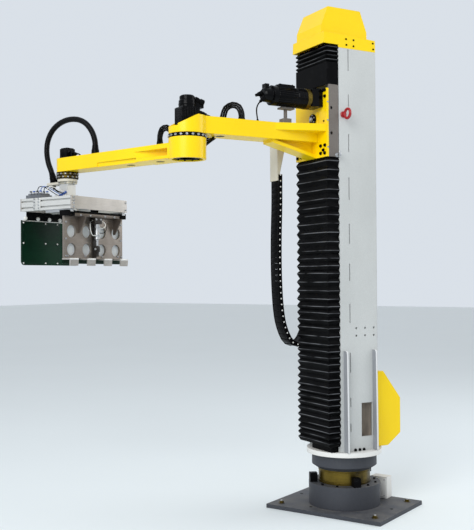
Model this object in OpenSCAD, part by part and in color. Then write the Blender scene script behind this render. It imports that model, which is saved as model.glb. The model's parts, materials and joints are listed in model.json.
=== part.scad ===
// Column palletizing robot arm, millimetres. Row frame: base plate bottom centre, +Z up.
// The base plate and the gripper lie along X and Y; the column and the arm are turned.

/* [Pose at rest] */
// turn of the column from the base plate's X axis, degrees
column_turn = -26.5; // [-110:0.5:110]
// turn of the forearm from the upper arm, degrees
elbow_turn = -67; // [-130:0.5:130]

/* [Base] */
// base plate size along X
plate_x = 498; // [420:1:620]
// base plate size along Y
plate_y = 643; // [560:1:760]
// base plate thickness
plate_t = 20; // [12:1:32]
// distance of the anchor holes along X
anchor_x = 380; // [340:1:480]
// distance of the anchor holes along Y
anchor_y = 530; // [480:1:640]
// anchor hole diameter
anchor_d = 18; // [14:1:22]
// fixed drum diameter
drum_d = 367; // [330:1:400]
// fixed drum height
drum_h = 114; // [90:1:140]
// slewing reducer diameter
reducer_d = 265; // [220:1:280]
// slewing reducer height
reducer_h = 71; // [55:1:90]
// half angle between the two end stops, degrees
stop_half_angle = 49; // [40:1:60]
// clearance of the end stops from the reducer
stop_gap = 12; // [8:1:20]
// radial length of the end stops
stop_l = 38; // [28:1:48]
// width of the end stops
stop_w = 36; // [28:1:44]
// height of the end stops
stop_h = 46; // [36:1:54]

/* [Turntable] */
// turning flange diameter
flange_d = 333; // [300:1:360]
// turning flange height
flange_h = 80; // [60:1:95]
// mounting disc diameter
disc_d = 385; // [350:1:420]
// mounting disc height
disc_h = 24; // [16:1:40]

/* [Column] */
// column depth behind its turning axis
column_back = 112; // [100:1:130]
// column depth in front of its turning axis
column_front = 118; // [105:1:135]
// column width
column_w = 283; // [260:1:320]
// column wall thickness
wall_t = 10; // [8:1:14]
// column top above the floor
column_top = 2340; // [2200:1:2500]
// height of the cap's skirt
skirt_h = 60; // [45:1:75]
// height of the cap's hood above the skirt
hood_h = 150; // [110:1:190]
// width of the cap's hood
hood_w = 224; // [200:1:240]
// rise of the cap's front edge over its rear edge
cap_rise = 14; // [8:1:20]
// height of the rear cover
rear_cover_h = 386; // [320:1:440]
// depth of the rear cover
rear_cover_d = 178; // [150:1:200]
// width of the rear cover
rear_cover_w = 200; // [160:1:230]
// window width in the side walls
window_w = 69; // [50:1:80]
// window height in the side walls
window_h = 169; // [120:1:200]
// guide rail width
rail_w = 20; // [15:1:25]
// guide rail height from the column face
rail_h = 16; // [12:1:20]
// distance of the two guide rails
rail_gap = 190; // [170:1:200]
// lifting eyes below the top of the column
eye_drop = 337; // [280:1:400]
// front foot ribs in front of the turning axis
rib_front = 92; // [80:1:100]
// rear foot ribs behind the turning axis
rib_back = 87; // [75:1:95]

/* [Bellows] */
// depth of the bellows in front of the column
bellows_d = 74; // [66:1:84]
// fold depth
fold_d = 11; // [8:1:14]
// wall behind the folds
bellows_t = 8; // [6:1:10]
// folds of the lower bellows
lower_folds = 38; // [30:1:44]
// folds of the upper bellows
upper_folds = 4; // [3:1:6]
// height of the lower bellows' foot
foot_h = 31; // [24:1:50]
// free height of the upper bellows at rest
upper_bellows_h = 78; // [60:1:120]

/* [Carriage] */
// carriage side plate height
side_plate_h = 362; // [330:1:380]
// carriage front plate height
front_plate_h = 342; // [310:1:350]
// carriage front plate thickness
front_plate_t = 12; // [8:1:16]
// carriage side plate thickness
side_plate_t = 8; // [6:1:12]
// top cover height
top_cover_h = 112; // [90:1:130]
// lift motor diameter
lift_motor_d = 98; // [90:1:110]
// lift motor body length
lift_motor_l = 178; // [150:1:200]
// lift gearbox edge length
gearbox_a = 94; // [86:1:100]
// guide block length
block_l = 90; // [70:1:110]
// lower guide blocks above the carriage bottom
block_low = 42; // [30:1:60]
// distance from the lower to the upper guide blocks
block_pitch = 190; // [160:1:200]

/* [Arm] */
// distance from the column axis to the elbow axis
reach_upper = 893; // [800:1:1000]
// distance from the elbow axis to the wrist axis
reach_fore = 847; // [760:1:950]
// upper arm beam width
arm_w = 120; // [100:1:140]
// upper arm beam height
arm_h = 82; // [70:1:100]
// height of the root flare
flare_h = 36; // [28:1:48]
// drop of the elbow rim below the top of the arm
elbow_drop = 53; // [40:1:60]
// upper arm bottom above the carriage bottom
arm_rise = 80; // [70:1:100]
// elbow housing diameter
elbow_d = 178; // [160:1:200]
// height of the bolted elbow ring
ring_h = 18; // [14:1:24]
// forearm drum height
fore_drum_h = 100; // [88:1:116]
// forearm beam height
fore_h = 72; // [60:1:80]
// forearm width at the elbow
fore_w_root = 158; // [140:1:170]
// forearm width at the wrist
fore_w_tip = 112; // [100:1:130]
// depth of the forearm side pocket at the elbow
recess_d = 56; // [40:1:62]
// elbow motor edge length
elbow_motor_a = 90; // [80:1:100]
// elbow motor height
elbow_motor_h = 152; // [130:1:170]
// wrist motor edge length
wrist_motor_a = 56; // [48:1:66]
// wrist motor height above the forearm
wrist_motor_h = 53; // [40:1:70]
// wrist reducer diameter
wrist_d = 110; // [96:1:120]
// wrist reducer height
wrist_reducer_h = 36; // [28:1:44]

/* [Gripper] */
// gripper frame size along X
frame_x = 414; // [380:1:460]
// gripper frame size along Y
frame_y = 373; // [340:1:420]
// gripper frame height
frame_h = 65; // [50:1:80]
// frame profile width
profile_w = 30; // [25:1:40]
// frame centre from the wrist axis along X
frame_off_x = -25; // [-40:1:0]
// frame centre from the wrist axis along Y
frame_off_y = 25; // [0:1:40]
// drop from the wrist reducer to the frame top
tool_drop = 109; // [90:1:130]
// fixed pad height
pad_h = 236; // [200:1:260]
// fixed pad thickness
pad_t = 10; // [8:1:14]
// holed jaw plate height
jaw_h = 215; // [190:1:240]
// holed jaw plate thickness
jaw_t = 12; // [8:1:16]
// jaw plate length along X
jaw_l = 434; // [400:1:470]
// jaw hole diameter
jaw_hole_d = 64; // [50:1:72]
// pitch of the jaw holes
jaw_pitch = 110; // [96:1:116]
// clamp space between the two plates at rest
clamp_gap = 287; // [250:1:330]
// jaw travel towards the fixed pad
jaw_travel = 70; // [40:1:90]
// thickness of the jaw's pressing board
board_t = 10; // [8:1:14]
// thickness of the sheet between board and jaw plate
sheet_t = 4; // [3:1:6]
// finger width
finger_w = 56; // [44:1:64]
// finger pitch
finger_pitch = 124; // [112:1:132]

/* [Hoses and chain] */
// wrist hose diameter
wrist_hose_d = 30; // [22:1:36]
// elbow conduit diameter
conduit_d = 9; // [7:1:11]
// height of the chain's fixed end above the floor
chain_fixed_z = 1180; // [1050:1:1300]
// chain width
chain_w = 75; // [60:1:90]
// chain height
chain_h = 26; // [22:1:32]

/* [Fits] */
// running gap between turning faces
turn_gap = 0.3; // [0.2:0.1:0.5]
// running gap between sliding faces
slide_gap = 0.3; // [0.2:0.1:0.5]
// radial clearance of the clamp rod in its cylinder
rod_clear = 0.05; // [0.03:0.01:0.08]

/* [Hidden] */
drum_z = plate_t;
reducer_z = drum_z + drum_h;
flange_z = reducer_z + reducer_h;
disc_z = flange_z + flange_h;
column_z = disc_z + disc_h;
half_w = column_w / 2;
front_x = column_front + bellows_d;
column_h = column_top - column_z;
carriage_z = column_top - upper_bellows_h - top_cover_h - side_plate_h;
bellows_bottom = column_z + foot_h;
bellows_top = carriage_z;
cap_front_z = column_top + cap_rise;
side_top = carriage_z + side_plate_h;
cover_top = side_top + top_cover_h;
arm_z = carriage_z + arm_rise;
arm_top = arm_z + arm_h;
elbow_top = arm_top - elbow_drop;
ring_top = arm_z - 4;
ring_z = ring_top - ring_h;
fore_top = ring_z - turn_gap;
fore_bottom = fore_top - fore_drum_h;
beam_z = fore_bottom + 4;
beam_top = beam_z + fore_h;
wrist_z = beam_z - wrist_reducer_h;
frame_top = wrist_z - tool_drop;
frame_z = frame_top - frame_h;
frame_lo_x = frame_off_x - frame_x / 2;
frame_hi_x = frame_off_x + frame_x / 2;
frame_lo_y = frame_off_y - frame_y / 2;
frame_hi_y = frame_off_y + frame_y / 2;
pad_y = frame_lo_y + 2;
jaw_y = pad_y + pad_t + clamp_gap + board_t + sheet_t;
jaw_rail_h = 15;
block_top = frame_z - 7;
block_z = frame_z - 35;
wrist_turn = -column_turn - elbow_turn;
$fn = 96;

module on_column() { rotate([0, 0, column_turn]) children(); }
module on_elbow() {
  on_column() translate([reach_upper, 0, 0]) rotate([0, 0, elbow_turn]) children();
}
module on_wrist() {
  on_elbow() translate([reach_fore, 0, 0]) rotate([0, 0, wrist_turn]) children();
}
// a box given by its low and high corner
module box(low, high) { translate(low) cube(high - low); }
// a profile in X and Z, pushed along Y from y0 to y1
module along_y(points, y0, y1) {
  translate([0, y1, 0]) rotate([90, 0, 0]) linear_extrude(height = y1 - y0) polygon(points);
}
// a profile in Y and Z, pushed along X from x0 to x1
module along_x(points, x0, x1) {
  translate([x0, 0, 0]) rotate([90, 0, 90]) linear_extrude(height = x1 - x0) polygon(points);
}

// a round tube through the points of a path, one ring at each point
function unit(v) = v / norm(v);
function path_dir(p, i) =
  unit(p[min(i + 1, len(p) - 1)] - p[max(i - 1, 0)]);
function tube_dir(p, i, d0, d1) = i == 0 ? d0 : i == len(p) - 1 ? d1 : path_dir(p, i);
function ring_at(p, i, r, side, n, d0, d1) =
  let (t = tube_dir(p, i, d0, d1), a = unit(side - t * (side * t)), b = cross(t, a))
  [for (k = [0 : n - 1]) p[i] + r * cos(360 * k / n) * a + r * sin(360 * k / n) * b];
function spline(a, b, c, d, t) =
  0.5 * ((2 * b) + (c - a) * t + (2 * a - 5 * b + 4 * c - d) * t * t
  + (3 * b - a - 3 * c + d) * t * t * t);
function smooth(p, m) = concat(
  [for (i = [0 : len(p) - 2]) for (k = [0 : m - 1])
    spline(p[max(i - 1, 0)], p[i], p[i + 1], p[min(i + 2, len(p) - 1)], k / m)],
  [p[len(p) - 1]]);
// d0 and d1 are the directions of the path at its two ends
module tube(p, r, side, n = 10, d0 = [0, 0, 1], d1 = [0, 0, -1]) {
  rings = [for (i = [0 : len(p) - 1]) each ring_at(p, i, r, side, n, d0, d1)];
  last = (len(p) - 1) * n;
  polyhedron(
    points = rings,
    faces = concat(
      [[for (k = [0 : n - 1]) k]],
      [for (i = [0 : len(p) - 2]) for (k = [0 : n - 1])
        [i * n + k, (i + 1) * n + k, (i + 1) * n + (k + 1) % n, i * n + (k + 1) % n]],
      [[for (k = [n - 1 : -1 : 0]) last + k]]));
}

module base_plate() color([0.24, 0.25, 0.26]) difference() {
  translate([-plate_x / 2, -plate_y / 2, 0]) cube([plate_x, plate_y, plate_t]);
  for (x = [-1, 1]) for (y = [-1, 1])
    translate([x * anchor_x / 2, y * anchor_y / 2, -1]) cylinder(d = anchor_d, h = plate_t + 2);
}

module base_drum() color([0.3, 0.31, 0.32]) translate([0, 0, drum_z]) difference() {
  cylinder(d = drum_d, h = drum_h);
  translate([0, 0, -1]) cylinder(d = reducer_d - 60, h = drum_h + 2);
}

stop_r = reducer_d / 2 + stop_gap;
module stop_blocks() color([0.08, 0.08, 0.08])
  for (a = [-stop_half_angle, stop_half_angle]) rotate([0, 0, a])
    box([stop_r, -stop_w / 2, reducer_z], [stop_r + stop_l, stop_w / 2, reducer_z + stop_h]);

module slew_reducer() color([0.55, 0.45, 0.2]) translate([0, 0, reducer_z]) difference() {
  cylinder(d = reducer_d, h = reducer_h - turn_gap);
  translate([0, 0, -1]) cylinder(d = reducer_d - 105, h = reducer_h + 2);
}

module junction_box() color([0.85, 0.85, 0.82])
  box([-plate_x / 2 + 4, 62, plate_t], [-plate_x / 2 + 64, 152, plate_t + 112]);

module turntable_flange() color([0.3, 0.31, 0.32]) on_column() {
  translate([0, 0, flange_z]) rotate_extrude() polygon([
    [reducer_d / 2 - 52, 0], [flange_d / 2 - 30, 0], [flange_d / 2, 20],
    [flange_d / 2, flange_h], [reducer_d / 2 - 52, flange_h]]);
  // stop dog under the rear edge
  box([-flange_d / 2 + 4, -15, flange_z - 40], [-reducer_d / 2 - 10, 15, flange_z + 24]);
}

module mounting_disc() color([0.85, 0.85, 0.84]) on_column() translate([0, 0, disc_z])
  difference() {
    cylinder(d = disc_d, h = disc_h);
    translate([0, 0, -1]) cylinder(d = reducer_d - 105, h = disc_h + 2);
  }

// slits, window and holes of one side wall; s is +1 on the left
slit_x = 56;
slit_w = 5;
slits = [[99, 140], [224, 270], [397, 496], [647, 743], [859, 944], [1044, 1145],
  [1266, 1379], [1508, 1598], [1736, 1799], [1918, 2027]] * column_h / 2031;
window_x = 34 - column_back;
window_z = column_z + 71;
module side_wall(s) difference() {
  box([-column_back, s > 0 ? half_w - wall_t : -half_w, column_z],
    [column_front, s > 0 ? half_w : -half_w + wall_t, column_top]);
  for (z = slits) box([slit_x, s * half_w - 2 * wall_t, column_z + z[0]],
    [slit_x + slit_w, s * half_w + 2 * wall_t, column_z + z[1]]);
  box([window_x, s * half_w - 2 * wall_t, window_z],
    [window_x + window_w, s * half_w + 2 * wall_t, window_z + window_h]);
  for (x = [-90, -35, 20]) for (z = [581, 619])
    translate([x, s * half_w + 3 * wall_t, column_z + z]) rotate([90, 0, 0])
      cylinder(d = 11, h = 6 * wall_t, $fn = 48);
}
module column_side_walls() color([0.72, 0.73, 0.74]) on_column() { side_wall(1); side_wall(-1); }
module column_end_walls() color([0.72, 0.73, 0.74]) on_column()
  for (x = [-column_back, column_front - wall_t])
    box([x, -half_w + wall_t, column_z], [x + wall_t, half_w - wall_t, column_top]);

rib_top = column_z + column_h / 4;
module column_ribs() color([0.78, 0.79, 0.8]) on_column()
  for (x = [-rib_back, rib_front]) for (s = [-1, 1])
    along_x([[s * half_w, column_z], [s * (half_w + 27), column_z],
      [s * (half_w + 27), column_z + 60], [s * (half_w + 4), rib_top], [s * half_w, rib_top]],
      x - 7, x + 8);

module guide_rails() color([0.6, 0.61, 0.63]) on_column() for (s = [-1, 1])
  box([column_front, s * rail_gap / 2 - rail_w / 2, bellows_bottom + 5],
    [column_front + rail_h, s * rail_gap / 2 + rail_w / 2, column_top - 8]);

module bellows_foot() color([0.12, 0.1, 0.09]) on_column()
  box([column_front, -56, column_z], [front_x - 32, half_w - 25, bellows_bottom]);

// zigzag edge of n folds from z0 to z1 around the outer line v; s is its outward sign
function zigzag(v, s, z0, z1, n) = [for (i = [0 : 2 * n])
  [v - s * (i % 2 == 0 ? fold_d : 0), z0 + (z1 - z0) * i / (2 * n)]];
function back_to_front(p) = [for (i = [len(p) - 1 : -1 : 0]) p[i]];
module bellows(z0, z1, n) difference() {
  intersection() {
    along_y(concat([[column_front + 0.5, z1], [column_front + 0.5, z0]],
      zigzag(front_x, 1, z0, z1, n)), -half_w - 1, half_w + 1);
    along_x(concat(zigzag(half_w, 1, z0, z1, n),
      back_to_front(zigzag(-half_w, -1, z0, z1, n))), column_front, front_x + 1);
  }
  box([column_front - 1, -half_w + fold_d + bellows_t, z0 - 1],
    [front_x - fold_d - bellows_t, half_w - fold_d - bellows_t, z1 + 1]);
}
module lower_bellows() color([0.05, 0.05, 0.055]) on_column()
  bellows(bellows_bottom, bellows_top, lower_folds);
module upper_bellows() color([0.05, 0.05, 0.055]) on_column()
  bellows(cover_top, cap_front_z, upper_folds);

// hood and skirt of the cap, drawn inwards by t
cap_front_x = front_x + 17;
skirt_top = column_top + skirt_h;
module cap_body(t, cut) {
  along_y([[-column_back + t, column_top - cut], [column_front, column_top - cut],
    [column_front, cap_front_z - cut], [cap_front_x - t, cap_front_z - cut],
    [cap_front_x - 3 - t, cap_front_z + skirt_h - 3 - t], [column_front, skirt_top + 9 - t],
    [-column_back + t, skirt_top - t]], -half_w + t, half_w - t);
  along_y([[30 - column_back + t, column_top - cut], [column_front, column_top - cut],
    [column_front, cap_front_z - cut], [cap_front_x - 5 - t, cap_front_z - cut],
    [cap_front_x - 8 - t, column_top + 113], [cap_front_x - 49 - t, skirt_top + hood_h - t],
    [73 - column_back + t, skirt_top + hood_h - t], [32 - column_back + t, skirt_top + 46]],
    -hood_w / 2 + t, hood_w / 2 - t);
}
cap_t = 5;
module top_cap() color([0.95, 0.68, 0.05]) on_column() difference() {
  cap_body(0, 0);
  cap_body(cap_t, 1);
}

// rear cover, drawn inwards by t
rear_z = column_z + 3;
module cover_body(t, cut) {
  d = rear_cover_d - t;
  along_y([[-column_back + cut, rear_z + t], [-column_back - 0.54 * d, rear_z + t],
    [-column_back - d, rear_z + 0.155 * rear_cover_h + t / 2],
    [-column_back - d, rear_z + 0.625 * rear_cover_h - t / 2],
    [-column_back - 0.38 * d, rear_z + rear_cover_h - t],
    [-column_back + cut, rear_z + rear_cover_h - t]],
    -rear_cover_w / 2 + t, rear_cover_w / 2 - t);
}
cover_t = 4;
module rear_cover() color([0.95, 0.68, 0.05]) on_column() difference() {
  cover_body(0, 0);
  cover_body(cover_t, 1);
}

eye_x = column_front - 25;
eye_z = column_top - eye_drop;
module lifting_eyes() color([0.7, 0.1, 0.08]) on_column() for (s = [-1, 1])
  translate([eye_x, s * half_w, eye_z]) {
    rotate([-90 * s, 0, 0]) cylinder(d = 30, h = 10, $fn = 48);
    rotate([-90 * s, 0, 0]) cylinder(d = 14, h = 20, $fn = 48);
    translate([0, s * 38, 0]) rotate([0, 90, 0]) rotate_extrude($fn = 64)
      translate([23, 0]) circle(r = 7, $fn = 32);
  }

// route of the chain's middle line in X and Z: the moving run hangs under the bracket,
// the fixed run stands on the anchor
chain_out = front_x + 93;
chain_in = front_x - 107;
chain_mid = (chain_out + chain_in) / 2;
chain_top = carriage_z - 68;
loop_z = chain_fixed_z - 342;
run = chain_top - loop_z - 282;
chain_route = [[chain_out, chain_top], [chain_out, chain_top - 40],
  [chain_out + 1, chain_top - 0.27 * run],
  [chain_out + 6, chain_top - 0.53 * run], [chain_out + 7, chain_top - 0.78 * run],
  [chain_out + 3, loop_z + 282], [chain_out - 4, loop_z + 192], [chain_out - 15, loop_z + 122],
  [chain_out - 35, loop_z + 62], [chain_out - 63, loop_z + 17], [chain_mid, loop_z],
  [chain_in + 63, loop_z + 17], [chain_in + 35, loop_z + 62], [chain_in + 15, loop_z + 122],
  [chain_in + 4, loop_z + 192], [chain_in, loop_z + 262], [chain_in, chain_fixed_z]];
chain_gap = 6;
chain_y = -half_w - chain_gap - chain_w;
function flat_side(p, i, w) = let (d = path_dir(p, i)) p[i] + w * [-d[1], d[0]];
module drag_chain() color([0.06, 0.06, 0.06]) on_column()
  along_y(concat([for (i = [0 : len(chain_route) - 1]) flat_side(chain_route, i, chain_h / 2)],
    [for (i = [len(chain_route) - 1 : -1 : 0]) flat_side(chain_route, i, -chain_h / 2)]),
    chain_y, chain_y + chain_w);
module chain_anchor() color([0.8, 0.8, 0.76]) on_column()
  box([chain_in - chain_h / 2 - 8, chain_y, chain_fixed_z - 50],
    [chain_in - chain_h / 2, -half_w, chain_fixed_z + 20]);

module guide_blocks() color([0.4, 0.41, 0.42]) on_column() difference() {
  for (s = [-1, 1]) for (z = [0, block_pitch])
    box([column_front + 5, s * rail_gap / 2 - 30, carriage_z + block_low + z],
      [front_x - front_plate_t, s * rail_gap / 2 + 30, carriage_z + block_low + z + block_l]);
  for (s = [-1, 1])
    box([column_front - 1, s * rail_gap / 2 - rail_w / 2 - slide_gap, carriage_z],
      [column_front + rail_h + slide_gap, s * rail_gap / 2 + rail_w / 2 + slide_gap,
        side_top]);
}

module carriage_side_plates() color([0.45, 0.43, 0.4]) on_column() difference() {
  for (s = [-1, 1])
    box([column_front + 4, s > 0 ? half_w - side_plate_t : -half_w, carriage_z],
      [front_x - front_plate_t, s > 0 ? half_w : -half_w + side_plate_t, side_top]);
  for (z = [118, 244]) translate([column_front + 45, 0, carriage_z + z])
    rotate([90, 0, 0]) cylinder(d = 16, h = column_w + 20, center = true, $fn = 48);
}

hub_y = 28;
hub_z = carriage_z + 198;
module carriage_front_plate() color([0.95, 0.68, 0.05]) on_column() {
  box([front_x - front_plate_t, -half_w, carriage_z],
    [front_x, half_w, carriage_z + front_plate_h]);
  // pad of the drive hub
  box([front_x - 1, hub_y - 34, hub_z - 36], [front_x + 5, hub_y + 34, hub_z + 36]);
}

module carriage_top_cover() color([0.07, 0.07, 0.075]) on_column() difference() {
  box([column_front + 3, -half_w + 1, side_top], [front_x - 2, half_w - 1, cover_top]);
  box([column_front + 2, -half_w + 13, side_top - 1],
    [front_x - 14, half_w - 13, cover_top + 1]);
}

arm_hole_x = reach_upper - 174;
flare_x = front_x + 248;
module upper_arm() color([0.95, 0.68, 0.05]) on_column() difference() {
  union() {
    box([front_x, -arm_w / 2, arm_z], [reach_upper - elbow_d / 4, arm_w / 2, arm_top]);
    // elbow housing, its cheeks sloping down towards the end
    intersection() {
      translate([reach_upper, 0, ring_top]) cylinder(d = elbow_d, h = arm_top - ring_top);
      along_y([[reach_upper - elbow_d, ring_top], [reach_upper + elbow_d, ring_top],
        [reach_upper + elbow_d, elbow_top], [reach_upper + elbow_d / 2, elbow_top],
        [reach_upper - 14, arm_top], [reach_upper - elbow_d, arm_top]], -elbow_d, elbow_d);
    }
    // root flare in plan
    translate([0, 0, arm_top - flare_h]) linear_extrude(height = flare_h) polygon([
      [front_x, -half_w + 6], [front_x + 60, -half_w + 20], [flare_x, -arm_w / 2],
      [flare_x, arm_w / 2], [front_x + 60, half_w - 20], [front_x, half_w - 6]]);
    // sloping gusset below, a web and a plate
    along_y([[front_x, carriage_z], [flare_x + 10, arm_z - 10], [flare_x + 10, arm_z + 1],
      [front_x, arm_z + 1]], -8, 8);
    along_y([[front_x, carriage_z], [flare_x + 10, arm_z - 14], [flare_x + 10, arm_z + 4],
      [front_x, carriage_z + 18]], -44, 44);
  }
  // seat of the elbow motor between the cheeks
  box([reach_upper - elbow_motor_a / 2 - 5, -elbow_motor_a / 2 - 5, elbow_top],
    [reach_upper + elbow_d, elbow_motor_a / 2 + 5, arm_top + 1]);
  translate([arm_hole_x, 0, arm_z - 1]) cylinder(d = 46, h = 30, $fn = 64);
}

module drive_hub() color([0.15, 0.15, 0.16]) on_column()
  translate([front_x + 5, hub_y, hub_z]) rotate([0, 90, 0]) {
    cylinder(d = 56, h = 7, $fn = 64);
    cylinder(d = 30, h = 11, $fn = 64);
  }

lift_y = 62;
lift_z = carriage_z + front_plate_h - gearbox_a / 2 - 4;
gearbox_l = 62;
adapter_l = 24;
module lift_gearbox() color([0.1, 0.1, 0.1]) on_column() translate([front_x, lift_y, lift_z]) {
  box([0, -gearbox_a / 2, -gearbox_a / 2 + 6], [gearbox_l, gearbox_a / 2, gearbox_a / 2]);
  translate([gearbox_l, 0, 0]) rotate([0, 90, 0]) cylinder(d = lift_motor_d + 2, h = adapter_l);
}
// stepped round motor: front flange, body, rear ring and end bell
module lift_motor() color([0.07, 0.07, 0.07]) on_column()
  translate([front_x + gearbox_l + adapter_l, lift_y, lift_z]) {
    rotate([0, 90, 0]) rotate_extrude() polygon([
      [0, 0], [lift_motor_d / 2, 0], [lift_motor_d / 2, 50], [lift_motor_d / 2 - 3, 54],
      [lift_motor_d / 2 - 3, lift_motor_l - 16], [lift_motor_d / 2, lift_motor_l - 12],
      [lift_motor_d / 2, lift_motor_l + 14], [lift_motor_d / 2 - 12, lift_motor_l + 18],
      [lift_motor_d / 2 - 14, lift_motor_l + 52], [lift_motor_d / 2 - 22, lift_motor_l + 60],
      [0, lift_motor_l + 60]]);
    box([64, -24, 30], [lift_motor_l - 20, 24, lift_motor_d / 2 + 6]);
    box([lift_motor_l + 30, -16, 20], [lift_motor_l + 52, 16, lift_motor_d / 2 + 4]);
  }

module elbow_ring() color([0.2, 0.2, 0.21]) on_column()
  translate([reach_upper, 0, ring_z]) difference() {
    cylinder(d = elbow_d, h = ring_h);
    translate([0, 0, -1]) cylinder(d = elbow_d - 70, h = ring_h + 2);
  }

module elbow_motor() color([0.07, 0.07, 0.07]) on_column()
  translate([reach_upper, 0, elbow_top]) {
    box([-elbow_motor_a / 2, -elbow_motor_a / 2, 0],
      [elbow_motor_a / 2, elbow_motor_a / 2, 0.62 * elbow_motor_h]);
    rotate_extrude() polygon([[0, 0], [elbow_motor_a / 2 - 4, 0],
      [elbow_motor_a / 2 - 4, elbow_motor_h - 26], [elbow_motor_a / 2 - 8, elbow_motor_h - 22],
      [elbow_motor_a / 2 - 8, elbow_motor_h - 6], [elbow_motor_a / 2 - 14, elbow_motor_h],
      [0, elbow_motor_h]]);
    box([-elbow_motor_a / 2 - 34, -17, elbow_motor_h - 56],
      [-elbow_motor_a / 2 + 20, 17, elbow_motor_h - 29]);
  }

// post on the arm that carries the motor's end
post_x = front_x + 177;
post_y = lift_y - 25;
post_top = lift_z - lift_motor_d / 2;
module arm_post() color([0.5, 0.5, 0.5]) on_column() translate([post_x, post_y, 0]) {
  box([-22, -22, arm_top], [22, 22, arm_top + 25]);
  translate([0, 0, arm_top + 25]) cylinder(d = 18, h = post_top - arm_top - 33, $fn = 48);
  box([-38, -14, post_top - 9], [38, 26, post_top - 0.3]);
}

// arm under the flare, plate in front of the chain and a tapered web beside it
bracket_top = arm_top - flare_h;
bracket_x = chain_out + chain_h / 2;
module chain_bracket() color([0.85, 0.83, 0.75]) on_column() {
  box([chain_out - 17, chain_y, bracket_top - 18], [bracket_x + 5, -arm_w / 2 - 10, bracket_top]);
  box([bracket_x, chain_y, chain_top - 30], [bracket_x + 5, chain_y + chain_w, bracket_top]);
  along_y([[bracket_x + 1, chain_top + 2], [bracket_x - 8, chain_top + 2],
    [chain_out - 40, bracket_top], [bracket_x + 1, bracket_top]],
    chain_y + chain_w - 5, chain_y + chain_w);
}

// three conduits over the far side of the elbow, in the column's frame: the first points of their
// middle line stand on the upper arm, the last on the forearm
function on_fore(p) = [reach_upper + p[0] * cos(elbow_turn) - p[1] * sin(elbow_turn),
  p[0] * sin(elbow_turn) + p[1] * cos(elbow_turn), beam_top + p[2]];
function on_arm(p) = [reach_upper + p[0], p[1], arm_top + p[2]];
gland_h = 24;
arm_gland_h = 14;
gland_gap = 0.2;
gland_at = [-300, -10];
gland_on_fore = [174, 3];
conduit_route = concat(
  [for (p = [[gland_at[0], gland_at[1], arm_gland_h + gland_gap], [gland_at[0], gland_at[1], 38],
    [-291.6, -21.9, 73.4], [-271.3, -50.8, 88], [-250.9, -79.7, 73.4], [-242.5, -91.6, 38],
    [-236, -99, 0], [-212, -108, -46], [-172, -116, -84], [-84, -123, -113]]) on_arm(p)],
  [for (p = [[124, -120, 4], [159, -108, 19], [gland_on_fore[0], -97, 54],
    [gland_on_fore[0], -82.4, 85.4], [gland_on_fore[0], -47, 100], [gland_on_fore[0], -11.6, 85.4],
    [gland_on_fore[0], gland_on_fore[1], 50],
    [gland_on_fore[0], gland_on_fore[1], gland_h + gland_gap]]) on_fore(p)]);
conduit_pitch = conduit_d + 2;
// the conduits lie side by side along the loops: across turns from the arm's loop to the forearm's
function across(i) = 215 + (elbow_turn + 145) * i / (len(conduit_route) - 1);
function strand(k) = [for (i = [0 : len(conduit_route) - 1])
  let (n = cross([cos(across(i)), sin(across(i)), 0], path_dir(conduit_route, i)))
  conduit_route[i] + k * conduit_pitch / norm(n) * n];
module conduit(k) color([0.05, 0.05, 0.05]) on_column()
  tube(smooth(strand(k), 2), conduit_d / 2, [cos(across(9)), sin(across(9)), 0]);
module conduit_a() conduit(-1);
module conduit_b() conduit(0);
module conduit_c() conduit(1);
module bundle_gland(p, turn, h) translate(p) rotate([0, 0, turn]) {
  box([-conduit_pitch, -conduit_d / 2 - 4, 0], [conduit_pitch, conduit_d / 2 + 4, h]);
  for (k = [-1, 1]) translate([k * conduit_pitch, 0, 0])
    cylinder(d = conduit_d + 8, h = h, $fn = 48);
}
module conduit_glands() color([0.08, 0.08, 0.08]) on_column()
  bundle_gland(on_arm([gland_at[0], gland_at[1], 0]), across(0) - 90, arm_gland_h);

// half width of the forearm beam at X
function fore_side(x) = (fore_w_root + (fore_w_tip - fore_w_root) * x / reach_fore) / 2;
deep_end = 0.33 * reach_fore;
shallow_end = 0.65 * reach_fore;
module forearm() color([0.95, 0.68, 0.05]) on_elbow() difference() {
  union() {
    translate([0, 0, fore_bottom]) cylinder(d = elbow_d + 1, h = fore_drum_h);
    difference() {
      translate([0, 0, beam_z]) linear_extrude(height = fore_h) polygon([
        [0, -fore_w_root / 2], [reach_fore, -fore_w_tip / 2], [reach_fore, fore_w_tip / 2],
        [0, fore_w_root / 2]]);
      // side pockets: a wedge deepest at the drum, and a step along the lower edge after it
      for (s = [-1, 1]) {
        translate([0, 0, beam_z + 15]) linear_extrude(height = fore_h - 38) polygon([
          [elbow_d / 3, s * (fore_w_root / 2 - recess_d)], [elbow_d / 3, s * fore_w_root],
          [deep_end, s * fore_w_root], [deep_end, s * (fore_side(deep_end) - 0.5)]]);
        translate([0, 0, beam_z - 1]) linear_extrude(height = 22) polygon([
          [deep_end - 8, s * (fore_side(deep_end) - 12)], [deep_end - 8, s * fore_w_root],
          [shallow_end, s * fore_w_root], [shallow_end, s * (fore_side(shallow_end) - 5)]]);
      }
    }
    translate([reach_fore, 0, beam_z]) cylinder(d = fore_w_tip, h = fore_h);
  }
  translate([0, 0, fore_bottom - 1]) cylinder(d = elbow_d - 29, h = fore_drum_h - 19);
  // round openings in the underside
  for (x = [0.205, 0.44]) translate([x * reach_fore, 0, beam_z - 1])
    cylinder(d = 44, h = 12, $fn = 64);
}

module wrist_motor() color([0.07, 0.07, 0.07]) on_elbow() translate([reach_fore, 0, beam_top]) {
  box([-wrist_motor_a / 2, -wrist_motor_a / 2, 0],
    [wrist_motor_a / 2, wrist_motor_a / 2, wrist_motor_h]);
  box([-wrist_motor_a / 2 - 24, -15, 10], [-wrist_motor_a / 2 + 1, 15, 34]);
}

module wrist_reducer() color([0.35, 0.3, 0.18]) on_elbow()
  translate([reach_fore, 0, wrist_z]) cylinder(d = wrist_d, h = wrist_reducer_h);

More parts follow.
